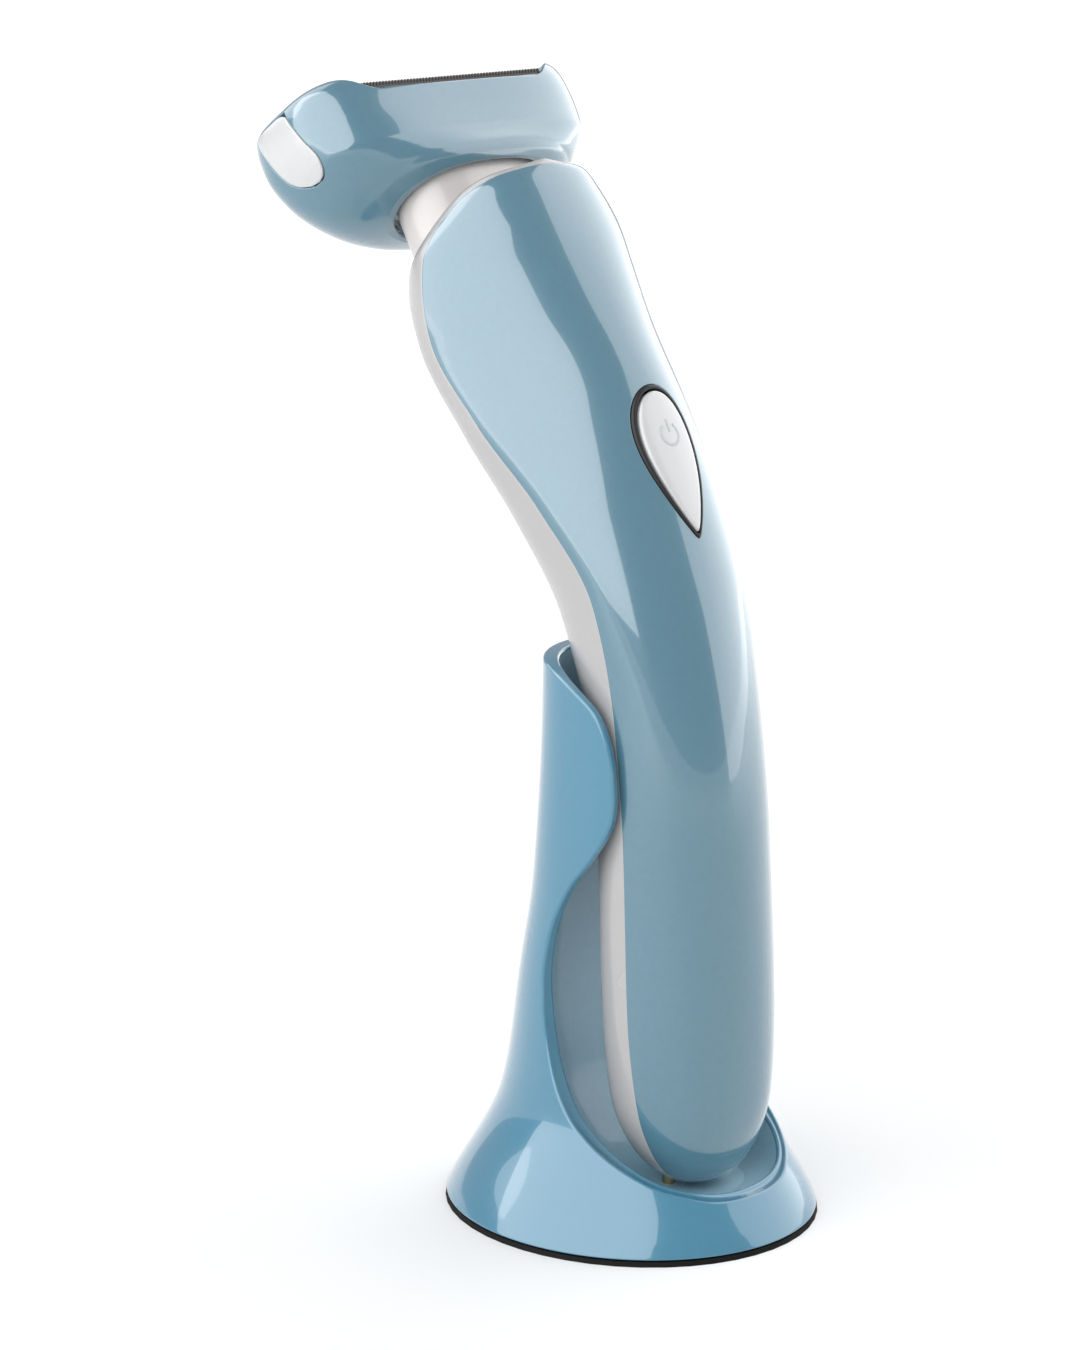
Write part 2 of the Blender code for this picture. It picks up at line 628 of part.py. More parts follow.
def make_motor():
    turned("motor_can", MOTOR_RADIUS, MOTOR_LENGTH, drive_frame(MOTOR_TOP - MOTOR_LENGTH), STEEL, 0.35,
           1.0, sides=28, edge=0.8)
    bracket = cylinder("motor_bracket", 8.8, 1.6, drive_frame(MOTOR_TOP + GAP), sides=32)
    cut(bracket, cylinder("bracket_bore_cutter", 2.4, 5, drive_frame(MOTOR_TOP - 1), sides=20))
    finish(bracket, WHITE, 0.5)
    turned("motor_shaft", 1.0, 3.6, drive_frame(MOTOR_TOP + GAP), STEEL, 0.3, 1.0, sides=14)
    wheel = cylinder("eccentric_wheel", 3.0, 2.4, drive_frame(MOTOR_TOP + 3.6 + 2 * GAP), sides=20)
    join(wheel, cylinder("eccentric_pin_tool", PIN_RADIUS, 5.0,
                         drive_frame(MOTOR_TOP + 4.6 + 2 * GAP, CUTTER_STROKE), sides=10))
    finish(wheel, WHITE, 0.5)


def make_cutter_drive():
    """Rocking piece: a slotted foot over the motor's pin, a post through the neck, a crossbar."""
    slot = 2 * (PIN_RADIUS + 2 * CUTTER_STROKE + GAP)
    foot_low = MOTOR_TOP + 3.6 + 2 * GAP + 2.4 + 0.6
    slider = box("drive_slider", (slot + 3.6, slot + 3.6, 4.4), drive_frame(foot_low + 2.2))
    post_low, post_high = foot_low + 3.6, BAR_TOP - 0.8
    join(slider, cylinder("slider_post_tool", 2.2, post_high - post_low, drive_frame(post_low), sides=16),
         box("slider_bar_tool", (22, 8.6, 1.8), head_matrix(0, 2.6, BAR_TOP - 0.9)),
         box("slider_riser_tool", (18, 3.0, CUTTER_BASE - GAP - BAR_TOP + 0.8),
             head_matrix(0, 0, (CUTTER_BASE - GAP + BAR_TOP - 0.8) / 2)))
    cut(slider, box("slider_slot_cutter", (slot, slot, 3.4), drive_frame(foot_low + 1.6)))
    finish(slider, WHITE, 0.5)

    half = CUTTER_LENGTH / 2
    profile = [(CUTTER_RADIUS * math.cos(a), CUTTER_RADIUS * math.sin(a))
               for a in [math.pi * k / 12 for k in range(13)]]
    profile = [(y, z + 1.2) for y, z in profile] + [(-CUTTER_RADIUS, 0.0), (CUTTER_RADIUS, 0.0)]
    block = prism("inner_cutter", profile, CUTTER_LENGTH, head_point(0, 0, CUTTER_BASE),
                  HEAD_ROTATION @ YZ_PLANE)
    count = 9
    bm = bmesh.new()
    for k in range(count):
        x = (k + 0.5) * CUTTER_LENGTH / count - half
        made = bmesh.ops.create_cube(bm, size=1.0)["verts"]
        bmesh.ops.scale(bm, vec=Vector((1.6, 14, 6)) * MM, verts=made)
        bmesh.ops.translate(bm, vec=Vector((x, 0, 1.6 + 3.0)) * MM, verts=made)
    slots = mesh_object("cutter_slots_cutter", bm)
    slots.matrix_world = head_matrix(0, 0, CUTTER_BASE)
    cut(block, slots)
    finish(block, STEEL, 0.3, 1.0)


# ---- shaving head ------------------------------------------------------------------------------
def head_ring(up, grow, count):
    half_x, half_y, shift, exponent = smooth(HEAD, up)
    slope = underside_slope(up)
    return [head_point(x, shift - y, up + slope * (shift - y + 4.0))
            for x, y in superellipse(half_x + grow, half_y + grow, exponent, count)]


def head_loft(name, heights, grow, count=44):
    return loft(name, [head_ring(w, grow, count) for w in heights])


def rounded_rect(half_x, half_y, radius, steps=4):
    points = []
    for corner, (sx, sy) in enumerate(((1, 1), (-1, 1), (-1, -1), (1, -1))):
        for k in range(steps + 1):
            a = math.pi / 2 * (corner + k / steps)
            points.append((sx * (half_x - radius) + radius * math.cos(a),
                           sy * (half_y - radius) + radius * math.sin(a)))
    return points


def head_prism(name, outline, low, high):
    return prism(name, outline, high - low, head_point(0, 0, (low + high) / 2), HEAD_ROTATION)


SADDLE_PLANE = Matrix((Vector((1, 0, 0)), Vector(HEAD_UP), Vector(HEAD_FRONT))).transposed()


def saddle_outline():
    """Outline, in the head's length and up axes, of what is cut away between the two cheeks."""
    outline = [(25.4, 6.0)]
    for k in range(9):
        t = k / 8
        rise = 1 - t * t * (3 - 2 * t)
        outline.append((24.4 - 8.4 * t, FRONT_LIP + (HEAD_TOP + 0.4 - FRONT_LIP) * rise))
    return outline + [(-x, w) for x, w in reversed(outline)]


def pill_outline(grow):
    """Release button outline: (forward, up) with a round lower end, open at the top of the cheek."""
    half, low, high = 4.25 + grow, -6.6, 1.6 + grow
    outline = [(half, high), (-half, high)]
    for k in range(9):
        a = math.pi * k / 8
        outline.append((-half * math.cos(a), low - half * math.sin(a)))
    return [(forward - 1.8 - LATCH_LEAN * w, w) for forward, w in outline]


SIDE_PLANE = Matrix((Vector(HEAD_FRONT), Vector(HEAD_UP), Vector((1, 0, 0)))).transposed()


def make_housing():
    housing = head_loft("head_housing", [-20.0, -19.3, -18.5, -17.4, -16, -14.5, -13, -11, -9, -6.5, -4,
                                         -2, 0, 1.2, 1.9, 2.4, HEAD_TOP], 0.0)
    funnel = head_loft("funnel_cutter", [-18.6, -17.6, -16, -14, -12, -9.5, BAY_FLOOR + 0.2], -1.7, 36)
    collar_hole = loft("collar_hole_cutter", [neck_ring(w, GAP, UNDERSIDE_SLOPE) for w in (-22.0, -17.4)])
    bay = head_prism("bay_cutter", rounded_rect(*BAY, 4.5), BAY_FLOOR, 6.0)
    saddle = prism("saddle_cutter", saddle_outline(), 60, head_point(0, 0, 0), SADDLE_PLANE)
    cut(housing, funnel, collar_hole, bay, saddle)
    for sign in (-1, 1):
        cut(housing, prism("latch_hole_%d" % sign, pill_outline(GAP), 9, head_point(sign * 26.2, 0, 0),
                           SIDE_PLANE))
    finish(housing, BLUE, 0.12)


def make_latches():
    """Release buttons on both ends; each follows the housing's outside and has a spring behind it."""
    heights = [-11.5, -10, -8, -6, -4, -2, 0.0, 1.0, 2.1]
    for side, sign in (("left", -1), ("right", 1)):
        latch = prism("release_button_" + side, pill_outline(0.0), 9, head_point(sign * 27.0, 0, 0),
                      SIDE_PLANE)
        for tool, operation in ((head_loft("latch_outside_" + side, heights, 0.15), "INTERSECT"),
                                (head_loft("latch_inside_" + side, heights, -1.65), "DIFFERENCE")):
            finish(tool, BLACK, 0.5, cutter=True)
            boolean(latch, tool, operation)
        finish(latch, WHITE, 0.25)
        spring("latch_spring_" + side, 1.6, 0.25, 3, head_point(sign * 25.6, 0, -4.6),
               head_point(sign * 22.9, 0, -4.6))


def make_cassette():
    """Pull-off frame that carries the foil and the two fixed trimmer combs."""
    half_x, half_y = CASSETTE
    frame = head_prism("cassette_frame", rounded_rect(half_x, half_y, 4.2), BAY_FLOOR + GAP + 0.3, -1.4)
    ends = [box("cassette_end_%d" % sign, (half_x - COMB_HALF_LENGTH - 0.7, 2 * half_y - 8.4, 4.6),
                head_matrix(sign * (half_x + COMB_HALF_LENGTH + 0.3) / 2, 0, -1.0)) for sign in (-1, 1)]
    join(frame, *ends)
    cut(frame, box("foil_window_cutter", (36.4, 9.6, 14), head_matrix(0, 0, -3.0)))
    for sign in (-1, 1):
        cut(frame, box("comb_window_%d" % sign, (2 * COMB_HALF_LENGTH + 0.8, 3.9, 10),
                       head_matrix(0, sign * (COMB_FORWARD - 0.8), COMB_LEDGE + 5)))
    finish(frame, BLUE, 0.2)


def comb_outline(teeth, gullet):
    """Comb in its own plane: a strip whose upper edge is cut into square-topped teeth."""
    pitch = 2 * COMB_HALF_LENGTH / teeth
    outline = [(COMB_HALF_LENGTH, -4.6), (COMB_HALF_LENGTH, 0.0)]
    for k in range(teeth):
        x = COMB_HALF_LENGTH - k * pitch
        outline += [(x - 0.45 * pitch, 0.0), (x - 0.55 * pitch, -gullet), (x - 0.9 * pitch, -gullet)]
        outline.append((x - pitch, 0.0))
    return outline[:-1] + [(-COMB_HALF_LENGTH, 0.0), (-COMB_HALF_LENGTH, -4.6)]


def make_combs():
    """Fixed comb at the front and rear edge, with its sliding blade right behind it."""
    for name, sign in (("front", 1), ("rear", -1)):
        comb = prism("%s_comb" % name, comb_outline(20, 0.9), 0.5,
                     head_point(0, sign * COMB_FORWARD, COMB_TOP), SADDLE_PLANE)
        finish(comb, STEEL, 0.35, 1.0)
        blade_length = 2 * (COMB_HALF_LENGTH - CUTTER_STROKE - 0.4)
        blade = box("%s_trimmer_blade" % name, (blade_length, 0.6, 4.1),
                    head_matrix(0, sign * (COMB_FORWARD - 0.55 - GAP), COMB_LEDGE + 0.4 + 2.05))
        finish(blade, STEEL, 0.35, 1.0)


def make_foil():
    """Thin arched sheet over the cutter, on a rim that floats in the cassette's window."""
    outer, thickness = 4.5, 0.3
    angles = [math.pi * (0.02 + 0.96 * k / 12) for k in range(13)]
    base = -3.6
    arch = [(outer * math.cos(a), base + (outer + 0.9) * math.sin(a)) for a in angles]
    inside = [((outer - thickness) * math.cos(a), base + (outer + 0.9 - thickness) * math.sin(a))
              for a in reversed(angles)]
    foil = prism("foil", arch + inside, 35.8, head_point(0, 0, 0), HEAD_ROTATION @ YZ_PLANE)
    finish(foil, STEEL, 0.3, 1.0)


make_battery()
make_control_board()
make_contacts()
make_motor()
make_cutter_drive()
make_housing()
make_latches()
make_cassette()
make_combs()
make_foil()
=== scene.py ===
"""Looks of the body groomer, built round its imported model.

Same frame as the CAD: metres, +Z up, -Y the side with the power button. Lengths in the tables are
in millimetres. The head's own axes are x along its length, forward, and up towards the foil.
"""
import math

import bpy
import numpy as np
from mathutils import Matrix, Vector
from mathutils.bvhtree import BVHTree


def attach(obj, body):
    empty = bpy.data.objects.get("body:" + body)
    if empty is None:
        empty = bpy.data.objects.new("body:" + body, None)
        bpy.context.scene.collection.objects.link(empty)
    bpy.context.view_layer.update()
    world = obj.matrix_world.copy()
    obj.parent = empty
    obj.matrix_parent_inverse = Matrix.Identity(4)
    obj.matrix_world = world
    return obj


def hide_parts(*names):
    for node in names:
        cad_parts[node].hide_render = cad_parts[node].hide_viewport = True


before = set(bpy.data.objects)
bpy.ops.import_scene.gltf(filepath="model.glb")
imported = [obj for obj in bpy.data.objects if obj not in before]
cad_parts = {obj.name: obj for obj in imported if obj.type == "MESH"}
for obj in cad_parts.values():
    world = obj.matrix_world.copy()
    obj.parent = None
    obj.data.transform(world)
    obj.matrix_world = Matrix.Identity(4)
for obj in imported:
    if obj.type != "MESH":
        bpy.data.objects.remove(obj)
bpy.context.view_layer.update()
MM = 0.001

# ---- dimensions shared with the CAD (mm) -------------------------------------------------------
STAND_TOP = 91.0
STAND_LOW = 1.1
WELL_FLOOR = 6.4
HEAD_TILT = math.radians(34.0)
HEAD_CENTRE = np.array([0.0, 50.0, 168.5])
HEAD_FRONT = np.array([0.0, -math.cos(HEAD_TILT), math.sin(HEAD_TILT)])
HEAD_UP = np.array([0.0, math.sin(HEAD_TILT), math.cos(HEAD_TILT)])
HEAD_TOP = 2.8
DRIVE_OFFSET = 4.5
CONTACT = (3.2, -11.5)
UNDERSIDE_SLOPE = 0.28
NECK = (14.2, 7.8, 2.3)
BAY = (21.9, 12.0, 4.5)
BAY_FLOOR = -8.6
FRONT_LIP = -1.0
LATCH_LEAN = 0.35
COMB_HALF_LENGTH = 18.8
COMB_TOP, COMB_FORWARD = 0.7, 11.35
BUTTON_U, BUTTON_LENGTH, BUTTON_WIDTH = 0.775, 24.6, 11.6
INLET_HEIGHT, INLET_HOLE = 9.5, 3.9
PILL_HALF_WIDTH = 4.25    # release button: its half width, the middle of its round lower end,
PILL_LOW = -6.6           # its straight upper edge, and how far behind the head's middle it sits
PILL_TOP = 1.6
PILL_BEHIND = 1.8

# ---- details that only the looks have (mm) -----------------------------------------------------
NOT_CUT = 20.0            # value of a cut's distance field where the cut doesn't reach
CONTACT_HOLE = 1.8        # radius of the holes for the charging contacts
HANDLE_FOOT = 20.0        # the contacts' holes are below this height
RIM_SIDE, RIM_OVER_TOP = 0.25, 0.55       # width of the white lip, and what it gains over the top
RIM_WIDENS, RIM_WIDENING = 146.0, 14.0    # the height where it starts to widen, and over how much
PANEL_GAP = 0.3           # between the white lip and the blue panel
BUTTON_HOLE_GROW = 0.3
BUTTON_HOLE_DEPTH = 8.0
ICON_UP, ICON_RADIUS, ICON_STROKE = 4.4, 1.75, 0.42
ICON_LOW, ICON_HIGH = 0.3, 0.6
STAND_SEGMENTS, HEAD_SEGMENTS, NECK_SEGMENTS = 144, 176, 128
STAND_REACH, HEAD_REACH = 4.0, 2.5        # how far sections are averaged along the height
STAND_RIM = 0.5           # edge radii of the stand's rim and of the inlet's hole
INLET_EDGE = 0.35
INLET_DEPTH = 5.0
RIM_BLEND = 2.5           # over this the stand's front opening and flat top run into each other
HEAD_LIP = 0.4            # edge radii of the head's opening, neck hole and button pockets
NECK_EDGE = 0.6
PILL_EDGE = 0.2
NECK_GAP, NECK_DEPTH = 0.5, 1.6
HEAD_BELLY = -10.0        # the neck hole is below this height on the head's up axis
CHEEK = 20.0              # the release buttons are further out than this
PILL_GAP, PILL_INSET = 0.15, 0.25
PILL_PROUD = 0.13
POCKET_DEPTH = 2.6        # leaves room for the release buttons' travel
COMB_LOW, COMB_HALF_DEPTH = -4.6, 0.25
COMB_TEETH, COMB_GULLET = 58, 0.7

HANDLE = np.array([
    [0.00, 0.0, -15.0, 7.5, -15.0, 7.5, -15.0, 7.5, 2.0, 2.0],
    [0.03, 4.6, -14.8, 8.2, -19.0, 8.4, -9.6, 8.2, 2.1, 2.0],
    [0.08, 9.1, -14.4, 12.0, -22.6, 13.0, -4.2, 12.0, 2.2, 2.1],
    [0.15, 12.6, -13.4, 21.0, -24.7, 22.0, -1.2, 21.0, 2.2, 2.2],
    [0.25, 14.0, -12.4, 37.0, -25.0, 37.0, -0.2, 37.0, 2.05, 2.2],
    [0.40, 14.2, -11.6, 62.0, -23.8, 62.0, 0.6, 61.0, 1.9, 2.2],
    [0.52, 14.2, -9.7, 81.0, -21.4, 81.0, 3.0, 78.0, 1.9, 2.2],
    [0.64, 15.2, -5.8, 100.0, -17.4, 99.0, 8.6, 95.0, 1.8, 2.2],
    [0.74, 17.6, 3.6, 114.0, -11.6, 115.0, 16.4, 109.0, 1.75, 2.2],
    [0.82, 19.4, 15.2, 125.6, -5.0, 128.5, 25.2, 121.0, 1.75, 2.1],
    [0.90, 19.9, 25.2, 138.2, 3.4, 141.5, 34.2, 132.9, 1.8, 2.0],
    [0.95, 19.0, 27.4, 149.6, 10.0, 151.7, 38.6, 142.0, 1.9, 2.0],
    [0.98, 13.8, 24.9, 158.9, 16.0, 159.6, 38.0, 148.8, 2.0, 2.0],
    [0.99, 9.8, 22.4, 162.0, 18.2, 162.2, 31.0, 155.2, 2.0, 2.0],
    [1.00, 0.0, 20.0, 164.2, 20.0, 164.2, 20.0, 164.2, 2.0, 2.0]])

STAND = np.array([
    [0.0, 28.3, 31.0, 0.0, 2.0],
    [1.5, 28.0, 30.7, 0.0, 2.0],
    [5.0, 26.4, 28.9, 0.0, 2.0],
    [9.0, 24.1, 26.4, 0.0, 2.0],
    [13.0, 21.9, 24.2, -0.3, 2.05],
    [18.0, 20.0, 22.3, -0.8, 2.1],
    [25.0, 19.1, 21.1, -1.8, 2.2],
    [38.0, 18.6, 19.6, -3.0, 2.3],
    [55.0, 17.3, 17.3, -4.0, 2.4],
    [83.0, 17.0, 15.8, -5.0, 2.5],
    [98.0, 17.0, 15.4, -5.0, 2.5]])

WELL = np.array([
    [WELL_FLOOR, 9.0, 8.0, -12.0, 2.0],
    [WELL_FLOOR + 0.8, 11.6, 11.2, -11.8, 2.05],
    [9.0, 14.2, 14.4, -11.3, 2.1],
    [13.0, 15.8, 16.6, -10.6, 2.3],
    [20.0, 16.8, 18.6, -9.4, 2.6],
    [38.0, 16.6, 18.0, -7.0, 2.8],
    [55.0, 15.6, 15.8, -6.4, 2.6],
    [83.0, 15.5, 15.0, -6.6, 2.3],
    [100.0, 15.7, 15.2, -6.4, 2.3]])

STAND_EDGE = [(14.0, 92.4), (7.0, 90.8), (3.0, 89.8), (-0.5, 88.6), (-4.7, 86.6), (-8.6, 83.8),
              (-10.9, 79.0), (-11.8, 73.5), (-11.8, 68.8), (-10.5, 65.0), (-7.2, 60.2), (-3.2, 55.4),
              (0.1, 49.4), (1.5, 43.0), (1.3, 37.4), (-0.1, 30.4), (-2.3, 24.4), (-5.4, 20.0),
              (-8.8, 17.2), (-12.4, 14.9), (-16.6, 12.6), (-20.0, 10.9), (-23.3, 9.6), (-27.0, 8.2),
              (-34.0, 7.4)]

HEAD = np.array([
    [-20.0, 16.6, 9.2, 4.5, 2.3],
    [-18.5, 20.5, 11.3, 3.4, 2.4],
    [-16.0, 23.6, 12.5, 2.1, 2.5],
    [-13.0, 25.6, 13.0, 1.2, 2.9],
    [-9.0, 27.4, 13.3, 0.5, 3.4],
    [-4.0, 28.2, 13.4, 0.0, 3.6],
    [0.0, 28.0, 13.3, 0.0, 3.6],
    [1.4, 27.6, 13.0, 0.0, 3.6],
    [2.3, 26.8, 12.3, 0.0, 3.6],
    [HEAD_TOP, 25.8, 11.4, 0.0, 3.6]])


# ---- curves and sections -----------------------------------------------------------------------
def smooth(stations, at):
    """Values of the stations' columns at `at`, by a cubic that never overshoots a station."""
    x, y = stations[:, 0], stations[:, 1:]
    step = np.diff(x)[:, None]
    slope = np.diff(y, axis=0) / step
    tangent = np.zeros_like(y)
    before, after = slope[:-1], slope[1:]
    w1, w2 = 2 * step[1:] + step[:-1], step[1:] + 2 * step[:-1]
    same_way = before * after > 0
    safe_before, safe_after = np.where(same_way, before, 1.0), np.where(same_way, after, 1.0)
    tangent[1:-1] = np.where(same_way, (w1 + w2) / (w1 / safe_before + w2 / safe_after), 0.0)
    tangent[0], tangent[-1] = slope[0], slope[-1]
    i = int(np.clip(np.searchsorted(x, at, side="right") - 1, 0, len(x) - 2))
    h = x[i + 1] - x[i]
    s = (at - x[i]) / h
    return ((1 + 2 * s) * (1 - s) ** 2 * y[i] + s * (1 - s) ** 2 * h * tangent[i]
            + s * s * (3 - 2 * s) * y[i + 1] + s * s * (s - 1) * h * tangent[i + 1])


def eased(stations, at, reach):
    """The stations' smooth values, averaged over `reach` both ways so that reflections flow evenly."""
    reach = min(reach, at - stations[0, 0], stations[-1, 0] - at)
    if reach <= 0:
        return smooth(stations, at)
    steps = np.linspace(-1, 1, 9)
    weights = (1 - steps * steps) ** 2 + 1e-6
    values = [smooth(stations, at + step * reach) for step in steps]
    return np.average(values, axis=0, weights=weights)


def signed_power(values, exponent):
    """Powers that keep the sign, as a superellipse needs."""
    return np.sign(values) * np.abs(values) ** exponent


def side_distance(line, a, b):
    """Distance of the points (a, b) to an open line, positive on its left; its ends run on straight."""
    line = np.asarray(line, float)
    start, end = line[0] + (line[0] - line[1]) * 200, line[-1] + (line[-1] - line[-2]) * 200
    line = np.concatenate([[start], line, [end]])
    best, sign = np.full(len(a), 1e9), np.ones(len(a))
    for (x0, y0), (x1, y1) in zip(line, line[1:]):
        dx, dy = x1 - x0, y1 - y0
        t = np.clip(((a - x0) * dx + (b - y0) * dy) / (dx * dx + dy * dy + 1e-12), 0, 1)
        away = np.hypot(a - x0 - t * dx, b - y0 - t * dy)
        nearer = away < best
        best = np.where(nearer, away, best)
        sign = np.where(nearer, np.sign(dx * (b - y0) - dy * (a - x0)), sign)
    return best * sign


def superellipse(half_x, half_y, exponent, count):
    a = 2 * np.pi * np.arange(count) / count
    return np.stack([half_x * signed_power(np.cos(a), 2 / exponent),
                     half_y * signed_power(np.sin(a), 2 / exponent)], axis=1)


def handle_ring(u, count):
    """Closed cross ring of the handle: +X seam, over the front, -X seam, back over the rear."""
    half, seam_y, seam_z, front_y, front_z, rear_y, rear_z, front_p, rear_p = smooth(HANDLE, u)
    ring = []
    for top_y, top_z, exponent, first in ((front_y, front_z, front_p, 0), (rear_y, rear_z, rear_p, 1)):
        a = np.pi * np.arange(count) / count
        across = half * signed_power(np.cos(a), 2 / exponent)
        rise = signed_power(np.sin(a), 2 / exponent)
        across = -across if first else across
        ring.append(np.stack([across, seam_y + (top_y - seam_y) * rise,
                              seam_z + (top_z - seam_z) * rise], axis=1))
    return np.concatenate(ring)


def head_points(x, forward, up):
    x, forward, up = (np.atleast_1d(np.asarray(v, float)) for v in (x, forward, up))
    along = np.zeros((max(len(x), len(forward), len(up)), 3))
    along[:, 0] = x
    return HEAD_CENTRE + along + forward[:, None] * HEAD_FRONT + up[:, None] * HEAD_UP


def head_axes(points):
    """The head's (x, forward, up) coordinates of world points in mm."""
    local = points - HEAD_CENTRE
    return local[:, 0], local @ HEAD_FRONT, local @ HEAD_UP


def head_ring(up, count):
    half_x, half_y, shift, exponent = eased(HEAD, up, HEAD_REACH)
    slope = UNDERSIDE_SLOPE * min(max((-9.0 - up) / 9.0, 0.0), 1.0)
    section = superellipse(half_x, half_y, exponent, count)
    forward = shift - section[:, 1]
    return head_points(section[:, 0], forward, up + slope * (forward + 4.0))


def neck_ring(up, grow, slope, count):
    half_x, half_y, exponent = NECK
    section = superellipse(half_x + grow, half_y + grow, exponent, count)
    forward = DRIVE_OFFSET - section[:, 1]
    return head_points(section[:, 0], forward, up + slope * (forward + 4.0))


def stand_ring(stations, z, count):
    half_x, half_y, centre_y, exponent = eased(stations, z, STAND_REACH)
    section = superellipse(half_x, half_y, exponent, count)
    return np.stack([section[:, 0], centre_y + section[:, 1], np.full(count, z)], axis=1)


def rounded_rect(half_x, half_y, radius, steps):
    points = []
    for corner, (sx, sy) in enumerate(((1, 1), (-1, 1), (-1, -1), (1, -1))):
        for k in range(steps + 1):
            a = math.pi / 2 * (corner + k / steps)
            points.append((sx * (half_x - radius) + radius * math.cos(a),
                           sy * (half_y - radius) + radius * math.sin(a)))
    return points


def outline_distance(outline, a, b):
    """Distance of the points (a, b) to a closed outline, positive outside it."""
    line = np.asarray(outline, float)
    best = np.full(len(a), 1e9)
    inside = np.zeros(len(a), bool)
    for (x0, y0), (x1, y1) in zip(line, np.roll(line, -1, axis=0)):
        dx, dy = x1 - x0, y1 - y0
        t = np.clip(((a - x0) * dx + (b - y0) * dy) / (dx * dx + dy * dy + 1e-12), 0, 1)
        best = np.minimum(best, np.hypot(a - x0 - t * dx, b - y0 - t * dy))
        crosses = (y0 > b) != (y1 > b)
        if dy:
            inside ^= crosses & (a < x0 + (b - y0) * dx / dy)
    return np.where(inside, -best, best)


# ---- skins: closed or open surfaces with smooth normals, cut along exact lines --------------------
class Skin:
    """Points in mm, a normal at each, and faces that run counter-clockwise seen from outside."""

    def __init__(self, points, faces, normals=None, rims=()):
        self.points = np.asarray(points, float)
        self.faces = faces
        self.rims = list(rims)          # cut edges, one list for each cut so far
        self.normals = self.smooth_normals() if normals is None else np.asarray(normals, float)

    def smooth_normals(self):
        total = np.zeros_like(self.points)
        for size in {len(f) for f in self.faces}:
            faces = np.array([f for f in self.faces if len(f) == size])
            p = self.points[faces]
            following = np.roll(p, -1, axis=1)
            normal = np.cross(p, following).sum(axis=1)
            for k in range(size):
                np.add.at(total, faces[:, k], normal)
        length = np.linalg.norm(total, axis=1, keepdims=True)
        return total / np.where(length > 1e-12, length, 1.0)

    def flipped(self):
        return Skin(self.points, [tuple(reversed(f)) for f in self.faces], -self.normals)

    def moved(self, distance):
        return Skin(self.points + self.normals * distance, self.faces, self.normals, self.rims)

    def split(self, field, level=0.0):
        """The part where field is above level and the part below, each with its cut as a new rim."""
        values = field(self.points) - level
        points, normals = list(self.points), list(self.normals)
        on_edge = {}

        def crossing(i, j):
            key = (min(i, j), max(i, j))
            if key not in on_edge:
                a, b = key
                t = values[a] / (values[a] - values[b])
                points.append(points[a] * (1 - t) + points[b] * t)
                normal = normals[a] * (1 - t) + normals[b] * t
                normals.append(normal / max(np.linalg.norm(normal), 1e-9))
                on_edge[key] = len(points) - 1
            return on_edge[key]

        parts, edges = ([], []), ([], [])
        above = values > 0
        first_new = len(points)
        for face in self.faces:
            kinds = [above[i] for i in face]
            if all(kinds) or not any(kinds):
                parts[0 if kinds[0] else 1].append(face)
                continue
            for side in (0, 1):
                loop = []
                for i, j in zip(face, face[1:] + face[:1]):
                    if above[i] == (side == 0):
                        loop.append(i)
                    if above[i] != above[j]:
                        loop.append(crossing(i, j))
                parts[side].append(tuple(loop))
                for i, j in zip(loop, loop[1:] + loop[:1]):
                    if i >= first_new and j >= first_new:
                        edges[side].append((i, j))
        found = []
        for side in (0, 1):
            used = sorted({i for face in parts[side] for i in face})
            number = {old: new for new, old in enumerate(used)}
            rims = [[(number[i], number[j]) for i, j in rim if i in number and j in number]
                    for rim in self.rims + [edges[side]]]
            found.append(Skin([points[i] for i in used],
                              [tuple(number[i] for i in face) for face in parts[side]],
                              [normals[i] for i in used], rims))
        return found


def outward(skin):
    """The closed skin with its faces turned outwards."""
    total = 0.0
    for face in skin.faces:
        a = skin.points[face[0]]
        for i, j in zip(face[1:], face[2:]):
            total += np.dot(a, np.cross(skin.points[i], skin.points[j]))
    return skin if total > 0 else skin.flipped()


def ring_skin(rings, low_cap=True, high_cap=True):
    """Skin through rings that run counter-clockwise seen from the last ring, with flat caps."""
    rings = list(rings)
    for at_end, wanted in ((False, low_cap), (True, high_cap)):
        if not wanted:
            continue
        edge = rings[-1] if at_end else rings[0]
        middle = edge.mean(axis=0)
        for share in (0.995, 0.96, 0.85, 0.7, 0.55, 0.4, 0.25, 0.1):
            cap = middle + (edge - middle) * share
            rings = rings + [cap] if at_end else [cap] + rings
    count = len(rings[0])
    faces = []
    for r in range(len(rings) - 1):
        for k in range(count):
            j = (k + 1) % count
            faces.append((r * count + k, r * count + j, (r + 1) * count + j, (r + 1) * count + k))
    if low_cap:
        faces.append(tuple(reversed(range(count))))
    if high_cap:
        faces.append(tuple(range((len(rings) - 1) * count, len(rings) * count)))
    return Skin(np.concatenate(rings), faces)


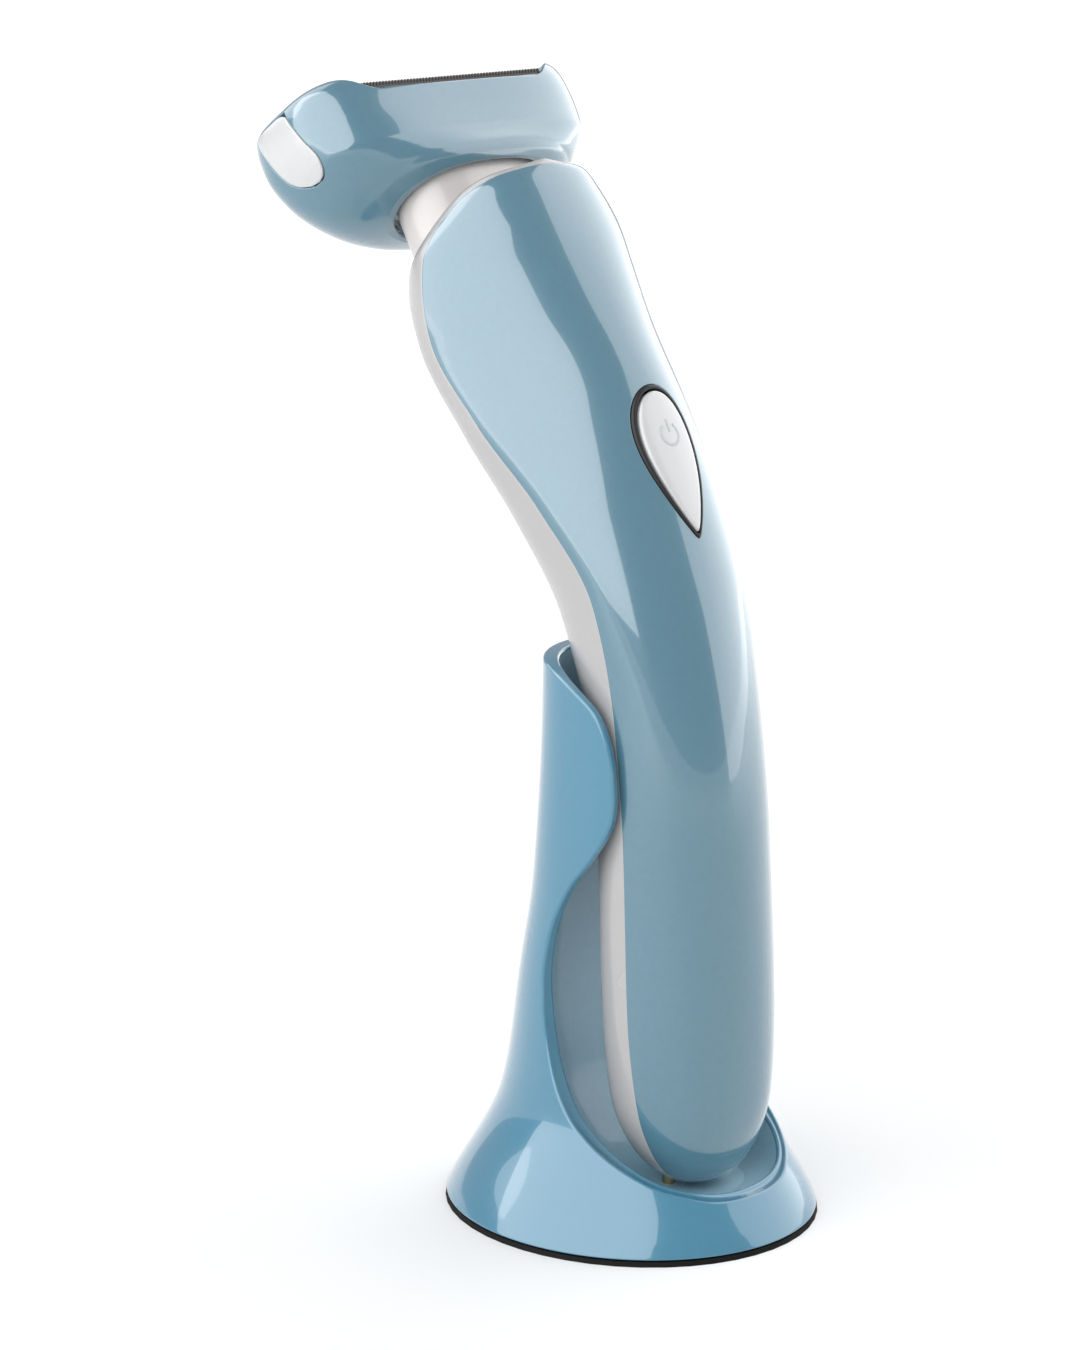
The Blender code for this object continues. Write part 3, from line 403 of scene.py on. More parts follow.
class Solid:
    """Collects faces with a normal at each corner, then becomes one Blender object."""

    def __init__(self):
        self.points, self.faces, self.corners, self.slots = [], [], [], []
        self.slot = 0                   # material slot of the faces added from here on

    def add(self, points):
        first = len(self.points)
        self.points += [Vector(p) for p in points]
        return list(range(first, len(self.points)))

    def face(self, indices, normals):
        self.faces.append(tuple(indices))
        self.slots.append(self.slot)
        self.corners += [tuple(n) for n in normals]

    def skin(self, skin):
        index = self.add(skin.points)
        for face in skin.faces:
            self.face([index[i] for i in face], [skin.normals[i] for i in face])
        return index

    def roll(self, skin, index, edges, profile):
        """Carries a cut edge on along a profile of (outwards, inwards, turn in degrees) steps.

        Returns the last row's index by skin vertex, and its normals.
        """
        sideways = {}
        for i, j in edges:
            along = skin.points[j] - skin.points[i]
            for v in (i, j):
                sideways[v] = sideways.get(v, 0) + np.cross(along, skin.normals[v])
        for v in sideways:
            sideways[v] = sideways[v] / max(np.linalg.norm(sideways[v]), 1e-9)
        rows = [({v: index[v] for v in sideways}, {v: skin.normals[v] for v in sideways})]
        for out, inward, turn in profile:
            t = math.radians(turn)
            row, normals = {}, {}
            for v, side in sideways.items():
                normals[v] = math.cos(t) * skin.normals[v] + math.sin(t) * side
                row[v] = self.add([skin.points[v] + out * side - inward * skin.normals[v]])[0]
            rows.append((row, normals))
        for (row_a, n_a), (row_b, n_b) in zip(rows, rows[1:]):
            for i, j in edges:
                self.face((row_a[j], row_a[i], row_b[i], row_b[j]),
                          (n_a[j], n_a[i], n_b[i], n_b[j]))
        return rows[-1]

    def extend(self, edges, row, normals, step):
        """Carries a rolled edge's last row straight on by the vector `step`."""
        new = {v: self.add([np.array(self.points[i]) + step])[0] for v, i in row.items()}
        for i, j in edges:
            self.face((row[j], row[i], new[i], new[j]),
                      (normals[j], normals[i], normals[i], normals[j]))
        return new

    def join_rows(self, edges, row_a, row_b, normals):
        """Fills the band between two rows of points along the same cut edge."""
        for i, j in edges:
            self.face((row_a[j], row_a[i], row_b[i], row_b[j]),
                      (normals[j], normals[i], normals[i], normals[j]))

    @staticmethod
    def loop(edges, row, normals):
        """The longest closed loop among directed edges, as (index, normal) pairs."""
        after = dict(edges)
        left, found = set(after), []
        while left:
            chain = [left.pop()]
            while after.get(chain[-1]) in left:
                chain.append(after[chain[-1]])
                left.discard(chain[-1])
            found.append([(row[v], normals[v]) for v in chain])
        return max(found, key=len)

    def cap(self, edges, row, normals):
        """Closes a hole's last row with one flat face."""
        around = [i for i, _ in self.loop(edges, row, normals)][::-1]
        p = np.array([self.points[i] for i in around])
        normal = np.cross(p, np.roll(p, -1, axis=0)).sum(axis=0)
        self.face(around, [normal / max(np.linalg.norm(normal), 1e-9)] * len(around))

    def zip_loops(self, first, second):
        """Fills the band between two cut edges; each is (edges, row, normals)."""
        a, b = self.loop(*first), self.loop(*second)
        a.reverse()
        where = self.points
        nearest = min(range(len(b)), key=lambda k: (where[b[k][0]] - where[a[0][0]]).length)
        b = b[nearest:] + b[:nearest]
        i = j = 0
        while i < len(a) or j < len(b):
            a0, a1 = a[i % len(a)], a[(i + 1) % len(a)]
            b0, b1 = b[j % len(b)], b[(j + 1) % len(b)]
            step_a = (where[a1[0]] - where[b0[0]]).length if i < len(a) else 1e9
            step_b = (where[a0[0]] - where[b1[0]]).length if j < len(b) else 1e9
            if step_a <= step_b:
                self.face((a0[0], a1[0], b0[0]), (a0[1], a1[1], b0[1]))
                i += 1
            else:
                self.face((a0[0], b1[0], b0[0]), (a0[1], b1[1], b0[1]))
                j += 1

    def object(self, name, finish, body, *nodes):
        mesh = bpy.data.meshes.new(name)
        mesh.from_pydata([tuple(p * MM) for p in self.points], [], self.faces)
        mesh.shade_smooth()
        mesh.normals_split_custom_set(self.corners)
        mesh.polygons.foreach_set("material_index", self.slots)
        return place_piece(bpy.data.objects.new(name, mesh), finish, body, *nodes)


def place_piece(obj, finish, body, *nodes):
    """Links the object, gives it its one finish or list of finishes, and ties it to its CAD body."""
    bpy.context.scene.collection.objects.link(obj)
    finishes = finish if isinstance(finish, list) else [finish]
    for material in finishes:
        obj.data.materials.append(material)
    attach(obj, body)
    if nodes:
        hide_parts(*nodes)
    return obj


ROUND = [(0.0, 0.0, 0), (0.26, 0.035, 15), (0.5, 0.13, 30), (0.71, 0.29, 45), (0.87, 0.5, 60),
         (0.97, 0.74, 75), (1.0, 1.0, 90)]


def rounded(radius, depth=0.0):
    """Edge profile: a quarter round, then straight in for `depth`."""
    steps = [(out * radius, inward * radius, turn) for out, inward, turn in ROUND[1:]]
    return steps + ([(radius, radius + depth, 90)] if depth else [])


def shell(name, finish, body, nodes, outer, radii, thickness):
    """Closed piece under a cut skin: rounded edges, walls, and an inner skin."""
    solid = Solid()
    index = solid.skin(outer)
    inner = outer.moved(-thickness)
    inside = solid.add(inner.points)
    for face in outer.faces:
        back = list(reversed(face))
        solid.face([inside[i] for i in back], [-outer.normals[i] for i in back])
    for edges, radius in zip(outer.rims, radii):
        if not edges:
            continue
        row, _ = solid.roll(outer, index, edges, rounded(radius, thickness - radius))
        solid.join_rows(edges, row, {v: inside[v] for v in row},
                        {v: -outer.normals[v] for v in row})
    return solid.object(name, finish, body, *nodes)


# ---- finishes ----------------------------------------------------------------------------------
def finish_material(name, colour, roughness, coat=0.0, metallic=0.0, grain=0.04, grain_scale=900.0,
                    bump=0.02, specular=0.5, coat_ior=1.5):
    """Moulded or metal surface: slight colour grain, uneven gloss and a fine bump, all procedural."""
    mat = bpy.data.materials.new(name)
    mat.use_nodes = True
    nodes, links = mat.node_tree.nodes, mat.node_tree.links
    shader = nodes["Principled BSDF"]
    coords = nodes.new("ShaderNodeTexCoord")
    fine = nodes.new("ShaderNodeTexNoise")
    fine.inputs["Scale"].default_value = grain_scale
    fine.inputs["Detail"].default_value = 3.0
    links.new(coords.outputs["Object"], fine.inputs["Vector"])
    broad = nodes.new("ShaderNodeTexNoise")
    broad.inputs["Scale"].default_value = 45.0
    broad.inputs["Detail"].default_value = 2.0
    links.new(coords.outputs["Object"], broad.inputs["Vector"])
    tint = nodes.new("ShaderNodeMix")
    tint.data_type = "RGBA"
    dark = tuple(c * (1 - grain) for c in colour)
    light = tuple(min(c * (1 + grain), 1.0) for c in colour)
    tint.inputs["A"].default_value = (*dark, 1)
    tint.inputs["B"].default_value = (*light, 1)
    links.new(fine.outputs["Fac"], tint.inputs["Factor"])
    links.new(tint.outputs["Result"], shader.inputs["Base Color"])
    gloss = nodes.new("ShaderNodeMapRange")
    gloss.inputs["To Min"].default_value = roughness * 0.8
    gloss.inputs["To Max"].default_value = roughness * 1.25
    links.new(broad.outputs["Fac"], gloss.inputs["Value"])
    links.new(gloss.outputs["Result"], shader.inputs["Roughness"])
    relief = nodes.new("ShaderNodeBump")
    relief.inputs["Strength"].default_value = bump
    relief.inputs["Distance"].default_value = 0.0002
    links.new(fine.outputs["Fac"], relief.inputs["Height"])
    links.new(relief.outputs["Normal"], shader.inputs["Normal"])
    shader.inputs["Metallic"].default_value = metallic
    shader.inputs["Coat Weight"].default_value = coat
    shader.inputs["Coat Roughness"].default_value = 0.03
    shader.inputs["Coat IOR"].default_value = coat_ior
    shader.inputs["Specular IOR Level"].default_value = specular
    return mat


BLUE = finish_material("blue_gloss", (0.078, 0.188, 0.25), 0.2, coat=1.0, grain=0.05, coat_ior=1.6)
STAND_BLUE = finish_material("stand_blue_gloss", (0.062, 0.215, 0.32), 0.2, coat=1.0, grain=0.04,
                             specular=0.3)
# inside of the stand's well: the same blue moulding as outside with a satin finish, its colour made
# much lighter than the outside as painted light that offsets the shade in the hollow
STAND_INSIDE = finish_material("stand_inside_painted_light", (0.34, 0.54, 0.65), 0.45, coat=0.4, grain=0.06,
                               bump=0.04)
WHITE = finish_material("white_gloss", (0.405, 0.395, 0.392), 0.25, coat=0.5, grain=0.015)
PEARL = finish_material("pearl_white", (0.56, 0.53, 0.515), 0.3, coat=0.4, grain=0.02)
BUTTON_WHITE = finish_material("button_white", (0.54, 0.545, 0.55), 0.28, coat=0.4, grain=0.015)
ICON_GREY = finish_material("icon_grey", (0.46, 0.475, 0.49), 0.35, grain=0.02)
BLACK = finish_material("black_satin", (0.008, 0.008, 0.009), 0.4, specular=0.3)
RUBBER = finish_material("black_rubber", (0.006, 0.006, 0.006), 0.75, grain=0.15, bump=0.25,
                         specular=0.12)
INNER = finish_material("inner_plastic", (0.62, 0.62, 0.60), 0.5, grain=0.03, bump=0.08)
DARK_STEEL = finish_material("blade_steel", (0.055, 0.05, 0.05), 0.42, metallic=1.0, grain=0.1)
STEEL = finish_material("steel", (0.55, 0.56, 0.58), 0.28, metallic=1.0, grain=0.06)
IRON = finish_material("cast_iron", (0.13, 0.13, 0.135), 0.6, metallic=0.8, grain=0.2, bump=0.4)
BRASS = finish_material("contact_metal", (0.4, 0.31, 0.17), 0.35, metallic=1.0)
BOARD = finish_material("circuit_board", (0.02, 0.13, 0.06), 0.4, coat=0.3, grain=0.15)
WRAP = finish_material("battery_wrap", (0.05, 0.12, 0.28), 0.35, coat=0.4)


# ---- handle ------------------------------------------------------------------------------------
def handle_rows(step):
    """Handle stations spread so that no point moves more than `step` mm from one to the next."""
    fine = np.linspace(0.0004, 0.9996, 1500)
    marks = np.array([smooth(HANDLE, u)[:7] for u in fine])
    along = np.concatenate([[0], np.cumsum(np.abs(np.diff(marks, axis=0)).max(axis=1))])
    return np.interp(np.linspace(0, along[-1], int(along[-1] / step) + 1), along, fine)


HANDLE_SKIN = ring_skin([handle_ring(u, 44)[::-1] for u in handle_rows(1.0)])
SEAM = np.array([smooth(HANDLE, u)[1:3] for u in np.linspace(0, 1, 160)])


def rim_width(points):
    """The white shell's lip in front of the seam, wider over the top (mm)."""
    top = np.clip((points[:, 2] - RIM_WIDENS) / RIM_WIDENING, 0, 1)
    return RIM_SIDE + RIM_OVER_TOP * top * top * (3 - 2 * top)


def seam_field(points):
    return side_distance(SEAM, points[:, 1], points[:, 2]) - rim_width(points)


def contact_holes(points):
    """Distance to the nearer of the two charging contacts' holes under the handle."""
    near = [np.hypot(points[:, 0] - x, points[:, 1] - CONTACT[1]) for x in (-CONTACT[0], CONTACT[0])]
    return np.where(points[:, 2] < HANDLE_FOOT, np.minimum(*near) - CONTACT_HOLE, NOT_CUT)


def button_frame():
    """Point on the middle of the front at the button, and its across, up and out directions."""
    def at(u):
        row = smooth(HANDLE, u)
        return np.array([0.0, row[3], row[4]])
    up = at(BUTTON_U + 0.01) - at(BUTTON_U - 0.01)
    up /= np.linalg.norm(up)
    return at(BUTTON_U), np.array([1.0, 0, 0]), up, np.cross([1.0, 0, 0], up)


BUTTON_AT, ACROSS, UPWARD, OUT = button_frame()


def teardrop(grow, count=72, shrink=1.0):
    """The power button's outline (across, up): round above and pointed below."""
    a = 2 * np.pi * (np.arange(count) + 0.5) / count
    along = np.cos(a)
    fullness = 1.28 * np.sqrt((1.1 + along) / 2.1)
    return np.stack([-np.sin(a) * fullness * (BUTTON_WIDTH / 2 + grow) * shrink,
                     along * (BUTTON_LENGTH / 2 + grow) * shrink], axis=1)


def button_hole(points):
    local = points - BUTTON_AT
    distance = outline_distance(teardrop(BUTTON_HOLE_GROW), local @ ACROSS, local @ UPWARD)
    return np.where(local @ OUT > -BUTTON_HOLE_DEPTH, distance, NOT_CUT)


_, rear_skin = HANDLE_SKIN.split(seam_field, 0.0)
rear_skin, _ = rear_skin.split(contact_holes)
panel_skin, _ = HANDLE_SKIN.split(seam_field, PANEL_GAP)
panel_skin, _ = panel_skin.split(button_hole)
shell("front_panel", BLUE, "razor", ["front_shell"], panel_skin, radii=[0.35, 0.2], thickness=1.5)
shell("rear_casing", WHITE, "razor", ["rear_shell"], rear_skin, radii=[0.3, 0.2], thickness=1.4)

HANDLE_TREE = BVHTree.FromPolygons([tuple(p) for p in HANDLE_SKIN.points], HANDLE_SKIN.faces)


def on_handle(outline, height):
    """Points of the button's plane dropped onto the handle, `height` mm proud of it."""
    rows = []
    for a, b in outline:
        start = BUTTON_AT + a * ACROSS + b * UPWARD + 30.0 * OUT
        hit, _, _, _ = HANDLE_TREE.ray_cast(Vector(start), Vector(-OUT))
        rows.append(np.array(hit) + height * OUT)
    return np.array(rows)


def tube_skin(rings):
    """Skin of a ring of closed sections, such as a bezel."""
    count = len(rings[0])
    faces = []
    for r in range(len(rings)):
        for k in range(count):
            j, q = (k + 1) % count, (r + 1) % len(rings)
            faces.append((r * count + k, r * count + j, q * count + j, q * count + k))
    return Skin(np.concatenate(rings), faces)


def skin_object(name, skin, finish, body, *nodes):
    solid = Solid()
    solid.skin(skin)
    return solid.object(name, finish, body, *nodes)


# how far outside the button's outline each row of the bezel runs, and how proud of the handle
bezel_rows = [(0.02, -1.3), (0.02, -0.05), (-0.05, 0.14), (-0.18, 0.23), (-0.37, 0.26), (-0.56, 0.23),
              (-0.69, 0.14), (-0.75, -0.05), (-0.75, -1.3)]
skin_object("button_ring", tube_skin([on_handle(teardrop(g), h) for g, h in bezel_rows]), BLACK,
            "razor", "button_bezel")
# the same for the cap, then how much of the outline is left towards its middle
cap_rows = [(-1.05, -1.1, 1), (-1.05, 0.05, 1), (-1.09, 0.2, 1), (-1.18, 0.32, 1), (-1.34, 0.42, 1),
            (-1.6, 0.48, 1), (-1.6, 0.5, 0.86), (-1.6, 0.5, 0.7), (-1.6, 0.5, 0.5), (-1.6, 0.5, 0.3),
            (-1.6, 0.5, 0.12)]
skin_object("power_button_cap",
            ring_skin([on_handle(teardrop(g, shrink=k), h) for g, h, k in cap_rows]),
            BUTTON_WHITE, "button", "power_button")


def raised_stroke(path, width, low, high):
    """A small moulded bar that follows a path (across, up) on the button's face."""
    path = np.asarray(path, float)
    along = np.gradient(path, axis=0)
    along /= np.linalg.norm(along, axis=1, keepdims=True)
    side = np.stack([-along[:, 1], along[:, 0]], axis=1)
    section = [(-0.5, low), (-0.5, high - 0.07), (-0.42, high - 0.02), (-0.3, high), (0.3, high),
               (0.42, high - 0.02), (0.5, high - 0.07), (0.5, low)]
    lanes = [on_handle(path + offset * width * side, height) for offset, height in section]
    return outward(ring_skin([np.array([lane[k] for lane in lanes]) for k in range(len(path))]))


turns = np.radians(np.linspace(128, 412, 40))
arc = np.stack([ICON_RADIUS * np.cos(turns), ICON_UP - 0.3 + ICON_RADIUS * np.sin(turns)], axis=1)
bar = [(0.0, ICON_UP + 0.1 + 0.25 * k) for k in range(9)]
mark = Solid()
for path in (arc, bar):
    mark.skin(raised_stroke(path, ICON_STROKE, ICON_LOW, ICON_HIGH))
mark.object("power_mark", ICON_GREY, "button")


# ---- stand -------------------------------------------------------------------------------------
def smooth_line(points, steps=8):
    """Catmull-Rom curve through the points."""
    p = np.asarray(points, float)
    p = np.concatenate([[2 * p[0] - p[1]], p, [2 * p[-1] - p[-2]]])
    line = []
    for a, b, c, d in zip(p, p[1:], p[2:], p[3:]):
        for t in np.arange(steps) / steps:
            line.append(0.5 * (2 * b + (c - a) * t + (2 * a - 5 * b + 4 * c - d) * t * t
                               + (3 * b - a - 3 * c + d) * t ** 3))
    return np.array(line + [p[-2]])


STAND_LINE = smooth_line(STAND_EDGE)


def stand_field(points):
    """Distance to the stand's rim, whose front opening and flat top run into each other."""
    opening, top = side_distance(STAND_LINE, points[:, 1], points[:, 2]), STAND_TOP - points[:, 2]
    h = np.maximum(RIM_BLEND - np.abs(opening - top), 0) / RIM_BLEND
    return np.minimum(opening, top) - h * h * RIM_BLEND / 4


def inlet_hole(points):
    distance = np.hypot(points[:, 0], points[:, 2] - INLET_HEIGHT) - INLET_HOLE
    return np.where(points[:, 1] > 0, distance, NOT_CUT)


outer_heights = np.concatenate([[STAND_LOW, STAND_LOW + 0.12, STAND_LOW + 0.4],
                                np.linspace(2.8, 26, 34), np.linspace(27, STAND_TOP + 1.5, 76)])
well_heights = np.concatenate([np.linspace(WELL_FLOOR, WELL_FLOOR + 3, 14)[1:],
                               np.linspace(10, 26, 20), np.linspace(27, STAND_TOP + 2, 76)])
stand_skin = ring_skin([stand_ring(STAND, z, STAND_SEGMENTS) for z in outer_heights])
well_skin = ring_skin([stand_ring(WELL, z, STAND_SEGMENTS) for z in well_heights]).flipped()
stand_skin, _ = stand_skin.split(stand_field, STAND_RIM)
stand_skin, _ = stand_skin.split(inlet_hole, INLET_EDGE)
well_skin, _ = well_skin.split(stand_field, STAND_RIM)
stand = Solid()
stand_index = stand.skin(stand_skin)
# the well's inner skin takes the lightened inside finish, which carries painted light
stand.slot = 1
well_index = stand.skin(well_skin)
stand.slot = 0
rim_edges, well_edges = stand_skin.rims[0], well_skin.rims[0]
rim_row, rim_normals = stand.roll(stand_skin, stand_index, rim_edges, rounded(STAND_RIM))
well_row, well_normals = stand.roll(well_skin, well_index, well_edges, rounded(STAND_RIM))
stand.zip_loops((rim_edges, rim_row, rim_normals), (well_edges, well_row, well_normals))
hole_edges = stand_skin.rims[1]
hole_row, hole_normals = stand.roll(stand_skin, stand_index, hole_edges, rounded(INLET_EDGE))
deep_row = stand.extend(hole_edges, hole_row, hole_normals, np.array([0, -INLET_DEPTH, 0]))
stand.cap(hole_edges, deep_row, hole_normals)
stand.object("stand_moulding", [STAND_BLUE, STAND_INSIDE], "stand", "stand_shell")


# ---- head --------------------------------------------------------------------------------------
def saddle_line():
    """Line (x, up) under the opening between the head's two cheeks, kept side on its left."""
    right = [(24.6, 14.0)]
    for t in np.linspace(0, 1, 28):
        rise = 1 - t * t * (3 - 2 * t)
        right.append((24.4 - 8.4 * t, FRONT_LIP + (HEAD_TOP + 0.4 - FRONT_LIP) * rise))
    return right + [(-x, w) for x, w in reversed(right)]


SADDLE = saddle_line()


def saddle_field(points):
    x, _, up = head_axes(points)
    return side_distance(SADDLE, x, up)


def pill_outline(grow, steps=24):
    """A release button's outline (forward, up) without its upper edge, which is cut on its own."""
    half, high = PILL_HALF_WIDTH + grow, 12.0
    a = np.pi * np.arange(steps + 1) / steps
    outline = [(half, high), (-half, high)]
    outline += list(zip(-half * np.cos(a), PILL_LOW - half * np.sin(a)))
    return [(forward - PILL_BEHIND - LATCH_LEAN * w, w) for forward, w in outline]


def pill_field(sign, grow):
    """Distance to a release button's outline on the head's left (-1) or right (1) end."""
    def field(points):
        x, forward, up = head_axes(points)
        outside = outline_distance(pill_outline(grow), forward, up)
        return np.where(x * sign > CHEEK, np.maximum(outside, up - PILL_TOP - grow), NOT_CUT)
    return field


def neck_field(points):
    """Distance to the outline of the neck's hole under the head."""
    outline = superellipse(NECK[0] + NECK_GAP, NECK[1] + NECK_GAP, NECK[2], 96)
    x, forward, up = head_axes(points)
    outside = outline_distance(outline, x, DRIVE_OFFSET - forward)
    return np.where(up < HEAD_BELLY, outside, NOT_CUT)


head_heights = np.concatenate([np.linspace(-20.0, -17.0, 10), np.linspace(-16.5, 0.0, 40),
                               np.linspace(0.2, HEAD_TOP, 16)])
HEAD_SKIN = ring_skin([head_ring(w, HEAD_SEGMENTS) for w in head_heights])
bay_heights = np.linspace(BAY_FLOOR, 6.0, 38)
bay_outline = rounded_rect(*BAY, 14)
bay_skin = ring_skin([head_points([x for x, _ in bay_outline], [-y for _, y in bay_outline], w)
                      for w in bay_heights]).flipped()
head_skin, _ = HEAD_SKIN.split(saddle_field, HEAD_LIP)
head_skin, _ = head_skin.split(neck_field, NECK_EDGE)
for sign in (-1, 1):
    head_skin, _ = head_skin.split(pill_field(sign, PILL_GAP), PILL_EDGE)
bay_skin, _ = bay_skin.split(saddle_field, HEAD_LIP)
head = Solid()
head_index, bay_index = head.skin(head_skin), head.skin(bay_skin)
lip_edges, neck_edges, *pill_edges = head_skin.rims
bay_edges = bay_skin.rims[0]
lip_row = head.roll(head_skin, head_index, lip_edges, rounded(HEAD_LIP))
bay_row = head.roll(bay_skin, bay_index, bay_edges, rounded(HEAD_LIP))
head.zip_loops((lip_edges, *lip_row), (bay_edges, *bay_row))
neck_row, neck_normals = head.roll(head_skin, head_index, neck_edges, rounded(NECK_EDGE))
neck_deep = head.extend(neck_edges, neck_row, neck_normals, NECK_DEPTH * HEAD_UP)
head.cap(neck_edges, neck_deep, neck_normals)
for edges, inward in zip(pill_edges, (1, -1)):
    pill_row, pill_normals = head.roll(head_skin, head_index, edges, rounded(PILL_EDGE))
    pill_deep = head.extend(edges, pill_row, pill_normals, np.array([POCKET_DEPTH * inward, 0, 0]))
    head.cap(edges, pill_deep, pill_normals)
head.object("head_shell", BLUE, "razor", "head_housing")

for side, sign in (("left", -1), ("right", 1)):
    _, button_skin = HEAD_SKIN.split(pill_field(sign, -PILL_INSET))
    shell("release_" + side, BUTTON_WHITE, "release_" + side, ["release_button_" + side],
          button_skin.moved(PILL_PROUD), radii=[0.3], thickness=1.1)

neck_rows = []
for w in np.linspace(-31.0, -17.2, 40):
    # level where it leaves the handle, then leaning and narrowing into the head's underside
    lean = np.clip((w + 25.0) / 5.0, 0, 1)
    grow = -0.2 * lean if w < -20 else -0.2 - 0.2 * (w + 20.0) / 2.8
    neck_rows.append(neck_ring(w, grow, UNDERSIDE_SLOPE * lean, NECK_SEGMENTS))
skin_object("neck_sleeve", ring_skin(neck_rows), PEARL, "razor", "neck_collar")


def comb_strip(name, sign, node):
    """Fixed trimmer comb, in front (1) or behind (-1): a thin strip with fine square-topped teeth."""
    pitch = 2 * COMB_HALF_LENGTH / COMB_TEETH
    outline = [(COMB_HALF_LENGTH, COMB_LOW), (COMB_HALF_LENGTH, 0.0)]
    for k in range(COMB_TEETH):
        x = COMB_HALF_LENGTH - k * pitch
        outline += [(x - 0.42 * pitch, 0.0), (x - 0.5 * pitch, -COMB_GULLET),
                    (x - 0.92 * pitch, -COMB_GULLET), (x - pitch, 0.0)]
    outline.append((-COMB_HALF_LENGTH, COMB_LOW))
    x, w = np.array(outline).T
    count = len(outline)
    near = head_points(x, sign * COMB_FORWARD + COMB_HALF_DEPTH, COMB_TOP + w)
    far = head_points(x, sign * COMB_FORWARD - COMB_HALF_DEPTH, COMB_TOP + w)
    solid = Solid()
    solid.add(near)
    solid.add(far)
    faces = [(k, (k + 1) % count, count + (k + 1) % count, count + k) for k in range(count)]
    faces += [tuple(reversed(range(count))), tuple(range(count, 2 * count))]
    skin = outward(Skin(np.concatenate([near, far]), faces))
    for face in skin.faces:
        p = skin.points[list(face)]
        normal = np.cross(p, np.roll(p, -1, axis=0)).sum(axis=0)
        normal /= np.linalg.norm(normal)
        solid.face(face, [normal] * len(face))
    solid.object(name, DARK_STEEL, "cassette", node)


comb_strip("front_comb_teeth", 1, "front_comb")
comb_strip("rear_comb_teeth", -1, "rear_comb")


def foil_material():
    """Steel sheet with rows of small dark holes."""
    mat = finish_material("foil_steel", (0.6, 0.61, 0.63), 0.25, metallic=1.0)
    nodes, links = mat.node_tree.nodes, mat.node_tree.links
    shader = nodes["Principled BSDF"]
    coords = nodes.new("ShaderNodeTexCoord")
    cells = nodes.new("ShaderNodeTexVoronoi")
    cells.inputs["Scale"].default_value = 1100.0
    cells.inputs["Randomness"].default_value = 0.25
    links.new(coords.outputs["Object"], cells.inputs["Vector"])
    holes = nodes.new("ShaderNodeMapRange")
    holes.inputs["From Min"].default_value = 0.28
    holes.inputs["From Max"].default_value = 0.36
    links.new(cells.outputs["Distance"], holes.inputs["Value"])
    pierced = nodes.new("ShaderNodeMix")
    pierced.data_type = "RGBA"
    pierced.inputs["A"].default_value = (0.01, 0.01, 0.01, 1)
    plain = shader.inputs["Base Color"].links[0].from_socket
    links.new(plain, pierced.inputs["B"])
    links.new(holes.outputs["Result"], pierced.inputs["Factor"])
    links.new(pierced.outputs["Result"], shader.inputs["Base Color"])
    return mat


FINISH_OF = {
    "rubber_foot": RUBBER, "base_plate": INNER, "ballast_plate": IRON, "charging_board": BOARD,
    "power_inlet": BLACK, "inlet_pin": STEEL, "neck_seal": RUBBER, "battery_cell": WRAP,
    "battery_tab_top": STEEL, "battery_tab_bottom": STEEL, "battery_cradle": INNER,
    "tact_switch": BLACK, "control_board": BOARD, "motor_can": STEEL, "motor_bracket": INNER,
    "cassette_frame": BLUE, "foil": foil_material(), "front_trimmer_blade": DARK_STEEL,
    "rear_trimmer_blade": DARK_STEEL, "drive_slider": INNER, "inner_cutter": STEEL,
    "motor_shaft": STEEL, "eccentric_wheel": INNER, "latch_spring_left": STEEL,
    "latch_spring_right": STEEL, "charge_contact_left": BRASS, "charge_contact_right": BRASS}
for node_name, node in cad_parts.items():
    finish = FINISH_OF.get(node_name)
    if finish is None:
        finish = BRASS if "pin" in node_name else STEEL
    node.data.materials.clear()
    node.data.materials.append(finish)


# ---- room, lights and camera -------------------------------------------------------------------
def floor_material():
    """Pale floor that glows gently away from the object, so that it stays even far from the lights."""
    mat = finish_material("pale_floor", (0.66, 0.66, 0.66), 0.7, grain=0.01, grain_scale=60.0,
                          bump=0.01, specular=0.1)
    nodes, links = mat.node_tree.nodes, mat.node_tree.links
    shader = nodes["Principled BSDF"]
    coords = nodes.new("ShaderNodeTexCoord")
    length = nodes.new("ShaderNodeVectorMath")
    length.operation = "LENGTH"
    links.new(coords.outputs["Object"], length.inputs[0])
    glow = nodes.new("ShaderNodeMapRange")
    glow.interpolation_type = "SMOOTHSTEP"
    glow.inputs["From Min"].default_value = 0.25
    glow.inputs["From Max"].default_value = 1.4
    glow.inputs["To Min"].default_value = 0.3
    glow.inputs["To Max"].default_value = 0.85
    links.new(length.outputs["Value"], glow.inputs["Value"])
    shader.inputs["Emission Color"].default_value = (1, 1, 1, 1)
    links.new(glow.outputs["Result"], shader.inputs["Emission Strength"])
    return mat


